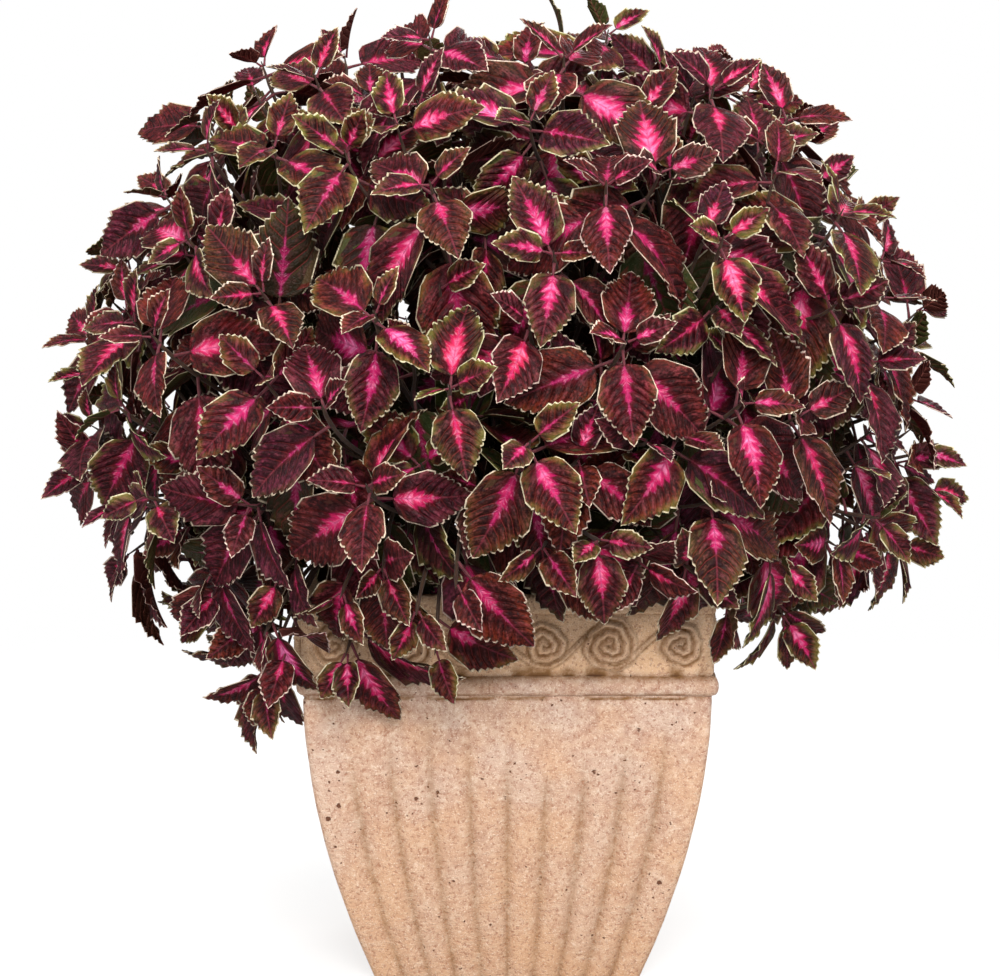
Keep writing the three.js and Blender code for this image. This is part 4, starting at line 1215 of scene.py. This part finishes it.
# %% Rings round a square
FRIEZE_BOTTOM = BEAD_BOTTOM + BEAD_HEIGHT
LIP_BOTTOM = FRIEZE_BOTTOM + FRIEZE_HEIGHT
FLOOR = 20.0
CORNER_RADIUS, CORNER_POINTS = 7.0, 4
UNEVEN_MM, LUMP_MM = 0.5, 24.0  # how deep and how wide the unevenness of pressed clay is
QUARTERS = ((1, 0), (0, 1), (-1, 0), (0, -1))  # cosine and sine of each quarter turn


def rough_clay(points, grain_mm):
    """Seeded noise at each point, for what the hand and the press left uneven."""
    return np.array([noise.noise(Vector(point / grain_mm)) for point in points])


def quarter_turned(x, y, z, quarter):
    """Points of one side, turned round to another."""
    c, s = QUARTERS[quarter]
    return np.stack([c * x - s * y, s * x + c * y, np.full(len(x), z)], -1)


def square_ring(half, flats, arcs):
    """One side and corner of a rounded square: how far out and across the points are, and their normals."""
    reach = half - CORNER_RADIUS
    along = np.linspace(-1, 1, flats) * reach
    arc = np.linspace(0, math.pi / 2, arcs + 2)[1:-1]
    out = np.append(np.full(flats, half), reach + CORNER_RADIUS * np.cos(arc))
    across = np.append(along, reach + CORNER_RADIUS * np.sin(arc))
    normal = np.append(np.zeros(flats), arc)
    return out, across, normal


def around(profile, flats, arcs, relief):
    """Rings up a profile of [height, half width]. `relief` gives each point's lift and its dirt with
    painted shade.
    """
    rings, marks = [], []
    for z, half in profile:
        out, across, normal = square_ring(half, flats, arcs)
        for side in range(4):
            lift, groove = relief(across, z, half, side)
            ring = quarter_turned(out + lift * np.cos(normal), across + lift * np.sin(normal), z, side)
            rings.append(ring)
            marks.append(groove[:, None] * [1, 0, 0])
    return np.concatenate(rings), np.concatenate(marks)


def add_rings(build, profile, flats, relief, uneven=UNEVEN_MM):
    points, marks = around(profile, flats, CORNER_POINTS, relief)
    flat = points * [1, 1, 0]
    out = flat / np.sqrt((flat**2).sum(1))[:, None]
    points = points + out * uneven * rough_clay(points, LUMP_MM)[:, None]
    facts = np.zeros((len(points), 3, 3))
    facts[:, 0] = marks
    faces = tube_faces(len(profile), 4 * (flats + CORNER_POINTS))
    build.add(points, facts, faces, 0, np.full(len(faces), True))


def waver(across, side):
    """An uneven line along a face, from 0 to 1, for cracks and for dirt and painted shade that come and go.
    """
    swings = np.sin(across * 0.11 + 2 * side) + np.sin(across * 0.043 + side) + 0.7 * np.sin(across * 0.29)
    return np.clip(0.5 + 0.27 * swings, 0, 1)


print("points on a side and its corner:", len(square_ring(LIP_HALF, 10, CORNER_POINTS)[0]))


# %% Reeds, and the crack under the bead
VALLEY_SPACING, VALLEY_REACH = 0.195, 0.8  # as shares of the body's half width
VALLEY_DEPTH = 4.5
FLUTES_FADE_FROM, FADE_SPREAD = 120.0, 28.0  # height, and how unevenly high the valleys end
CRACK_BELOW, CRACK_WANDER, CRACK_HALF, CRACK_DEPTH = 1.4, 1.6, 1.1, 1.4


def reeds(across, z, half, side):
    """Rounded reeds with narrow valleys between them, which run out below the bead."""
    place = across / (VALLEY_SPACING * half)
    valley = np.round(place)
    fade_to = BEAD_BOTTOM - FADE_SPREAD + FADE_SPREAD * np.sin(valley * 5.3 + side * 2.0)
    depth = VALLEY_DEPTH * (1 - smoothstep(z, FLUTES_FADE_FROM, fade_to))
    inside = 1 - np.minimum(np.abs(place - valley) * 2, 1)
    inside = inside * (np.abs(across) < VALLEY_REACH * half + VALLEY_SPACING * half / 2)
    uneven = 0.8 + 0.35 * np.sin(valley * 12.9 + side * 4.1)
    # Painted shade: the valleys darken where they run deep, partly dirt and partly the shade that falls in
    # them.
    valley_dirt_and_shade = inside**4 * (1 - smoothstep(z, FLUTES_FADE_FROM + 40, fade_to))
    line = waver(across, side)
    off = (z - BEAD_BOTTOM + CRACK_BELOW + CRACK_WANDER * line) / CRACK_HALF
    crack = np.exp(-(off**2)) * smoothstep(line, 0.1, 0.5)
    return -depth * uneven * inside**2 - CRACK_DEPTH * crack, 0.05 + 0.6 * valley_dirt_and_shade + 1.3 * crack


print("reeds on a side:", 2 * round(VALLEY_REACH / VALLEY_SPACING), "with valleys", VALLEY_DEPTH, "mm deep")


# %% Coiled roses and scrolls
ROSES = [[0.18, 20.0], [0.49, 24.0], [0.83, 20.0]]  # how far across, as a share of the lip, and the radius
ROSE_PROUD, COIL_PITCH, COIL_DEPTH = 3.6, 7.2, 3.4
SCROLL_PROUD, SCROLL_SWING, SCROLL_HALF = 3.4, 17, 1.5
FAR_OFF = 9  # from a scroll, so that nothing of it shows
BAND_EDGE = 3  # how wide the frieze's edges are


def roses(across, up, side, lift, groove):
    """Roses coil inward, each hand the other way. Gives lift and groove with them, and their centres."""
    centres = []
    for hand in (-1, 1):
        for share, radius in ROSES:
            centre = hand * share * LIP_HALF
            centres.append(centre)
            x, y = across - centre, up
            turn = np.arctan2(y, x)
            r = np.sqrt(x * x + y * y) + 0.9 * np.sin(3 * turn + centre) + 0.5 * np.sin(8 * turn + side)
            coil = r / COIL_PITCH - hand * turn / (2 * math.pi)
            ridge = np.cos(2 * math.pi * coil)
            on = smoothstep(r, radius, radius - 3)
            lift = np.maximum(lift, on * (ROSE_PROUD * (1 - 0.5 * (r / radius) ** 2) + COIL_DEPTH * ridge))
            groove = np.maximum(groove, on * smoothstep(-ridge, -0.2, 1.0))
    return lift, groove, sorted(centres)


def frieze(across, z, half, side):
    """Coiled roses on each side of the middle, with scrolls between them. Their grooves, the band's
    recessed edges and its foot above the bead get dirt with painted shade.
    """
    up = z - (LIP_BOTTOM - FRIEZE_HEIGHT / 2)
    lift, groove, centres = roses(across, up, side, np.zeros(len(across)), np.zeros(len(across)))
    for left, right in zip(centres, centres[1:]):
        share = np.clip((across - left) / (right - left), 0, 1)
        swing = np.cos(math.pi * share) * SCROLL_SWING * (1 if left < 0 else -1)
        off = np.where((share > 0) & (share < 1), np.abs(up - swing), FAR_OFF)
        lift = np.maximum(lift, SCROLL_PROUD * np.exp(-((off / SCROLL_HALF) ** 2)))
        groove = np.maximum(groove, 0.9 * np.exp(-(((off - 3) / 1.3) ** 2)))
    band = smoothstep(z, FRIEZE_BOTTOM, FRIEZE_BOTTOM + BAND_EDGE)
    band = band * (1 - smoothstep(z, LIP_BOTTOM - BAND_EDGE, LIP_BOTTOM))
    patchy_dirt_and_shade = smoothstep(waver(across, side + 3), 0.2, 0.8)
    # Painted shadow: the frieze's foot, just above the bead, is darkened in uneven patches.
    under = 1.05 * patchy_dirt_and_shade * (1 - smoothstep(z, FRIEZE_BOTTOM + 3, FRIEZE_BOTTOM + 6 + 6 * patchy_dirt_and_shade))
    dirt_and_shade = np.maximum(0.95 * groove * band, under)
    # Painted shade: the band's recessed edges under the lip and above the bead are darkened too.
    dirt_and_shade = dirt_and_shade + 0.4 * (1 - band) * (0.4 + 0.6 * waver(across, side + 1))
    return lift * band - 1.0 * (1 - band), dirt_and_shade


# %% The bead and the lip
def plain_face(across, z, half, side):
    return np.zeros(len(across)), np.full(len(across), 0.05)


def bead_dirt_and_shade(across, z, half, side):
    """The bead's upper edge and the line under it are darkened with dirt and painted shade, and a crack
    runs under it.
    """
    line = waver(across, side)
    above = smoothstep(z, FRIEZE_BOTTOM - 5, FRIEZE_BOTTOM - 1)
    under = 1 - smoothstep(z, BEAD_BOTTOM + 0.5, BEAD_BOTTOM + 3)
    return -1.6 * line * (above + under), 0.06 + above * (0.55 + 0.4 * line) + 0.95 * under * line


def bead_profile():
    turns = np.linspace(-math.pi / 2, math.pi / 2, 8)
    proud = (BEAD_PROUD + FRIEZE_RECESS) * np.cos(turns)
    heights = BEAD_BOTTOM + BEAD_HEIGHT / 2 * (1 + np.sin(turns))
    return np.stack([heights, LIP_HALF - FRIEZE_RECESS + proud], -1).tolist()


def lip_profile():
    """Up the lip's worn edge, over its top, and down the inner wall to the floor."""
    inner = BODY_TOP_HALF - WALL
    lip = [[LIP_BOTTOM - 0.5, LIP_HALF - 4], [LIP_BOTTOM, LIP_HALF - 0.6], [LIP_BOTTOM + 1.2, LIP_HALF]]
    lip += [[320.0, LIP_HALF], [324.0, LIP_HALF]]
    lip += [[POT_HEIGHT - 1.6, LIP_HALF - 0.3], [POT_HEIGHT, LIP_HALF - 1.8], [POT_HEIGHT, inner + 2]]
    lip += [[POT_HEIGHT - 1.5, inner + 0.4], [POT_HEIGHT - 6, inner], [BEAD_BOTTOM, inner]]
    return lip + [[z, float(body_half(z)) - WALL] for z in (190.0, 100.0, FLOOR)]


print("lip profile:", len(lip_profile()), "points, bead profile:", len(bead_profile()), "points")


# %% The whole planter
BODY_FLATS, BEAD_FLATS, FRIEZE_FLATS, LIP_FLATS = 131, 120, 216, 60  # points along each side
BODY_ROWS, FRIEZE_ROWS = 30, 37
BASE_BEVEL = 1.2
NEAR_BEAD = (-6, -4.5, -3, -1.5, 0, 3)  # rows close enough together for the crack


def make_planter():
    build = Build()
    rows = [0.0, BASE_BEVEL, *np.linspace(4, BEAD_BOTTOM - 9, BODY_ROWS)]
    rows += [BEAD_BOTTOM + up for up in NEAR_BEAD]
    body = [[z, float(body_half(z))] for z in rows]
    body[0][1] -= BASE_BEVEL
    add_rings(build, body, BODY_FLATS, reeds)
    bead = [[BEAD_BOTTOM - 0.5, BODY_TOP_HALF - 3], *bead_profile()]
    add_rings(build, bead, BEAD_FLATS, bead_dirt_and_shade, uneven=0.9)
    rows = np.linspace(FRIEZE_BOTTOM - 1, LIP_BOTTOM + 0.5, FRIEZE_ROWS)
    add_rings(build, [[z, LIP_HALF - FRIEZE_RECESS] for z in rows], FRIEZE_FLATS, frieze)
    add_rings(build, lip_profile(), LIP_FLATS, plain_face, uneven=0.7)
    add_base(build)
    return build.piece("terracotta_planter", [TERRACOTTA])


# %% The base and its drain holes
DRAIN_RADIUS = 11.0
DRAIN_OFFSET = 45.0
DRAIN_SIDES = 32
INNER_EDGE = 4  # how much wider the floor is than the underside, so that it meets the inner wall


def rounded_corner(flat, half):
    """Draws points that lie past a rounded corner back onto it."""
    corner = flat - (half - CORNER_RADIUS)
    over = np.sqrt((np.maximum(corner, 0) ** 2).sum(1))
    outside = (corner > 0).all(1) & (over > CORNER_RADIUS)
    rounded = half - CORNER_RADIUS + corner * (CORNER_RADIUS / np.maximum(over, 1e-9))[:, None]
    return np.where(outside[:, None], rounded, flat)


def add_base(build):
    """The underside and the floor, each in four quarters round a drain hole, and the holes' own walls."""
    turn = np.arange(DRAIN_SIDES) * 2 * math.pi / DRAIN_SIDES
    ray = np.stack([np.cos(turn), np.sin(turn)], -1)
    for half, z, upward in ((BASE_HALF - BASE_BEVEL, 0.0, False), (BASE_HALF + INNER_EDGE, FLOOR, True)):
        room = np.where(ray > 0, half - DRAIN_OFFSET, DRAIN_OFFSET) / np.maximum(np.abs(ray), 1e-9)
        edge = ray * room.min(1)[:, None]
        for quarter in range(4):
            rings = []
            for share in (0, 0.1, 0.5, 1):
                flat = rounded_corner(DRAIN_OFFSET + lerp(ray * DRAIN_RADIUS, edge, share), half)
                rings.append(quarter_turned(*flat.T, z, quarter))
            if not upward:
                well = rings[0].copy()
                well[:, 2] = FLOOR
                rings.insert(0, well)
            points = np.concatenate(rings)
            faces = tube_faces(len(rings), DRAIN_SIDES)
            faces = faces if upward else faces[:, ::-1]
            build.add(points, np.zeros((len(points), 3, 3)), faces, 0, np.full(len(faces), False))


planter = make_planter()
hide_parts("planter")
print("planter faces:", len(planter.data.polygons), "size:", [round(d, 3) for d in planter.dimensions])


# %% [markdown]
# Potting soil fills the planter to just below the lip. It is mostly peat and bark, so it is dark, crumbly
# and matte, and the crumbs are a few millimetres across. It shows only between the stems, so a finely rough
# top on a plain block is enough.

# %% Moist potting soil
CRUMB_MM, FIBRE_MM = 4.0, 1.5
SOIL_BUMP_MM = 2
PEAT_TO_BARK = [(0.35, "1c130d"), (0.6, "3b291d"), (0.75, "6a513c")]


def potting_soil():
    material, tree = new_material("moist potting soil")
    place = add(tree, "TexCoord", out=3)
    crumbs = add(tree, "TexVoronoi", {"Vector": place, "Scale": 1 / (CRUMB_MM * MM)})
    fibres = {"Vector": place, "Scale": 1 / (FIBRE_MM * MM), "Detail": 5.0, "Roughness": 0.7}
    fibres = add(tree, "TexNoise", fibres)
    skin = add(tree, "ValToRGB", {0: fibres}, stops=PEAT_TO_BARK)
    height = add(tree, "Math", {0: fibres, 1: crumbs}, operation="SUBTRACT")
    bump = add(tree, "Bump", {"Strength": 1.0, "Distance": SOIL_BUMP_MM * MM, "Height": height})
    finish = {"Base Color": skin, "Roughness": 0.95, "Normal": bump, "Specular IOR Level": 0.2}
    add(tree, "OutputMaterial", {0: add(tree, "BsdfPrincipled", finish)})
    return material


# %% The soil
SOIL_GAP = 0.4  # between the soil and the clay
SOIL_FLATS, SOIL_ARCS, SOIL_RINGS = 40, 2, 40
CRUMB_RELIEF_MM = 3.0
CRUMB_LUMPS_MM, HEAP_MM = 9.0, 40.0
SETTLED_MM = 1.0


def make_soil():
    build = Build()
    half = BODY_TOP_HALF - WALL - SOIL_GAP
    heights = (FLOOR + SOIL_GAP, 100.0, 190.0, BEAD_BOTTOM)
    profile = [[z, float(body_half(z)) - WALL - SOIL_GAP] for z in heights]
    profile += [[SOIL_TOP, half]]
    inward = np.linspace(0.97, 0, SOIL_RINGS)
    profile += [[SOIL_TOP, max(half * share, CORNER_RADIUS + 0.5)] for share in inward]
    points, _ = around(profile, SOIL_FLATS, SOIL_ARCS, plain_face)
    top = points[:, 2] > SOIL_TOP - 1
    flat = np.max(np.abs(points[:, :2]), axis=1) / half
    heap = CRUMB_RELIEF_MM * rough_clay(points, CRUMB_LUMPS_MM)
    heap += CRUMB_RELIEF_MM * rough_clay(points, HEAP_MM)
    points[:, 2] += top * (heap * (1 - flat**8) - SETTLED_MM)
    faces = tube_faces(len(profile), 4 * (SOIL_FLATS + SOIL_ARCS))
    build.add(points, np.zeros((len(points), 3, 3)), faces, 0, np.full(len(faces), True))
    return build.piece("potting_soil", [potting_soil()])


soil = make_soil()
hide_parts("soil")
print("soil faces:", len(soil.data.polygons))


# %% [markdown]
# A plain studio: a pale round floor that fades into an even white surround, a large soft light high at the
# front, a wider one above, and weaker ones that fill in from low at the front, from behind and from both
# sides. Small lamps would throw hard shadows, and the bush would break up in them. A floor that ran to the
# horizon would show a grey band behind the bush, so it ends before that.

# %% Floor
FLOOR_REACH = 1.9  # metres from the middle of the planter
FADE_FROM, FADED_AT = 0.7, 0.97  # metres, and a share of the reach
FLOOR_CLEAR = 0.7  # how much of the lit surround shows through it, so that shadows stay pale
FLOOR_SIDES = 96


def pale_floor():
    material, tree = new_material("pale painted studio floor")
    place = add(tree, "TexCoord", out=3)
    grain = add(tree, "TexNoise", {"Vector": place, "Scale": 3.0, "Detail": 2.0})
    paint = add(tree, "ValToRGB", {0: grain}, stops=[(0.3, "f9f8f7"), (0.7, "fcfbfa")])
    painted = add(tree, "BsdfDiffuse", {"Color": paint})
    far = add(tree, "VectorMath", {0: place}, out=1, operation="LENGTH")
    fade = {0: far, 1: FADE_FROM, 2: FLOOR_REACH * FADED_AT, 3: FLOOR_CLEAR}
    faded = add(tree, "MapRange", fade, **SMOOTH)
    surface = add(tree, "MixShader", {0: faded, 1: painted, 2: add(tree, "BsdfTransparent")})
    add(tree, "OutputMaterial", {0: surface})
    return material


rim_turns = [2 * math.pi * side / FLOOR_SIDES for side in range(FLOOR_SIDES)]
corners = [(FLOOR_REACH * math.cos(turn), FLOOR_REACH * math.sin(turn), 0) for turn in rim_turns]
floor_mesh = bpy.data.meshes.new("studio_floor")
floor_mesh.from_pydata(corners, [], [tuple(range(FLOOR_SIDES))])
floor_mesh.materials.append(pale_floor())
floor = bpy.data.objects.new("studio_floor", floor_mesh)
bpy.context.scene.collection.objects.link(floor)
print("floor:", 2 * FLOOR_REACH, "m across")


# %% Light
SURROUND_GLOW = 0.36  # what the surround gives the plant, as a share of how bright it looks


def softbox(name, at, width, power):
    """A large square light at `at` that faces the crown, in metres and watts."""
    light = bpy.data.lights.new(name, "AREA")
    light.shape, light.size, light.energy = "SQUARE", width, power
    made = bpy.data.objects.new(name, light)
    bpy.context.scene.collection.objects.link(made)
    made.location = at
    made.rotation_euler = (Vector(CROWN_CENTRE * MM) - made.location).to_track_quat("-Z", "Y").to_euler()


softbox("key_softbox", (0.2, -3.2, 1.9), 1.4, 140)
softbox("top_softbox", (0.2, -0.8, 3.2), 3.0, 126)
softbox("low_fill_softbox", (-0.8, -3.2, 0.8), 1.8, 32)
softbox("back_fill_softbox", (0.6, 3.2, 1.6), 2.0, 70)
softbox("left_fill_softbox", (-3.2, 0.2, 1.4), 2.0, 42)
softbox("right_fill_softbox", (3.2, 0.2, 1.4), 2.0, 42)
world = bpy.data.worlds.new("white_surround")
world.use_nodes = True
world.node_tree.nodes.clear()
seen = add(world.node_tree, "LightPath")
glow = add(world.node_tree, "MapRange", {0: seen, 3: SURROUND_GLOW, 4: 1.0})
surround = add(world.node_tree, "Background", {"Color": "ffffff", "Strength": glow})
add(world.node_tree, "OutputWorld", {0: surround})
bpy.context.scene.world = world
bpy.context.scene.view_settings.view_transform = "Standard"
print("lights:", [f"{light.name} {light.energy:.0f} W" for light in bpy.data.lights])

# %% [markdown]
# The camera stands a little above the crown's middle, about two and a half metres off. A long lens from
# there keeps the planter's sides from leaning, as in a portrait.

# %% Camera
AIM_HEIGHT = 400
LOOK_AT = Vector((EYE[0], 0, AIM_HEIGHT)) * MM
FIELD_WIDTH = 0.855  # metres across the picture, at the planter's middle
SENSOR_MM = 36.0

camera_data = bpy.data.cameras.new("camera")
camera = bpy.data.objects.new("camera", camera_data)
bpy.context.scene.collection.objects.link(camera)
camera.location = Vector(EYE) * MM
sight = LOOK_AT - camera.location
camera.rotation_euler = sight.to_track_quat("-Z", "Y").to_euler()
camera_data.sensor_width = SENSOR_MM
camera_data.lens = SENSOR_MM * sight.length / FIELD_WIDTH
bpy.context.scene.camera = camera
print("lens:", round(camera_data.lens, 1), "mm, from", round(sight.length, 2), "m")

# %% Sizes, and the end
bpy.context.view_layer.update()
added = [made for made in bpy.data.objects if made.type == "MESH" and made.name not in frame["nodes"]]
triangles = [sum(len(face.vertices) - 2 for face in made.data.polygons) for made in added]
print("triangles added:", sum(triangles), "most in one piece:", max(triangles))
print("made in", round(time.time() - started, 1), "s")
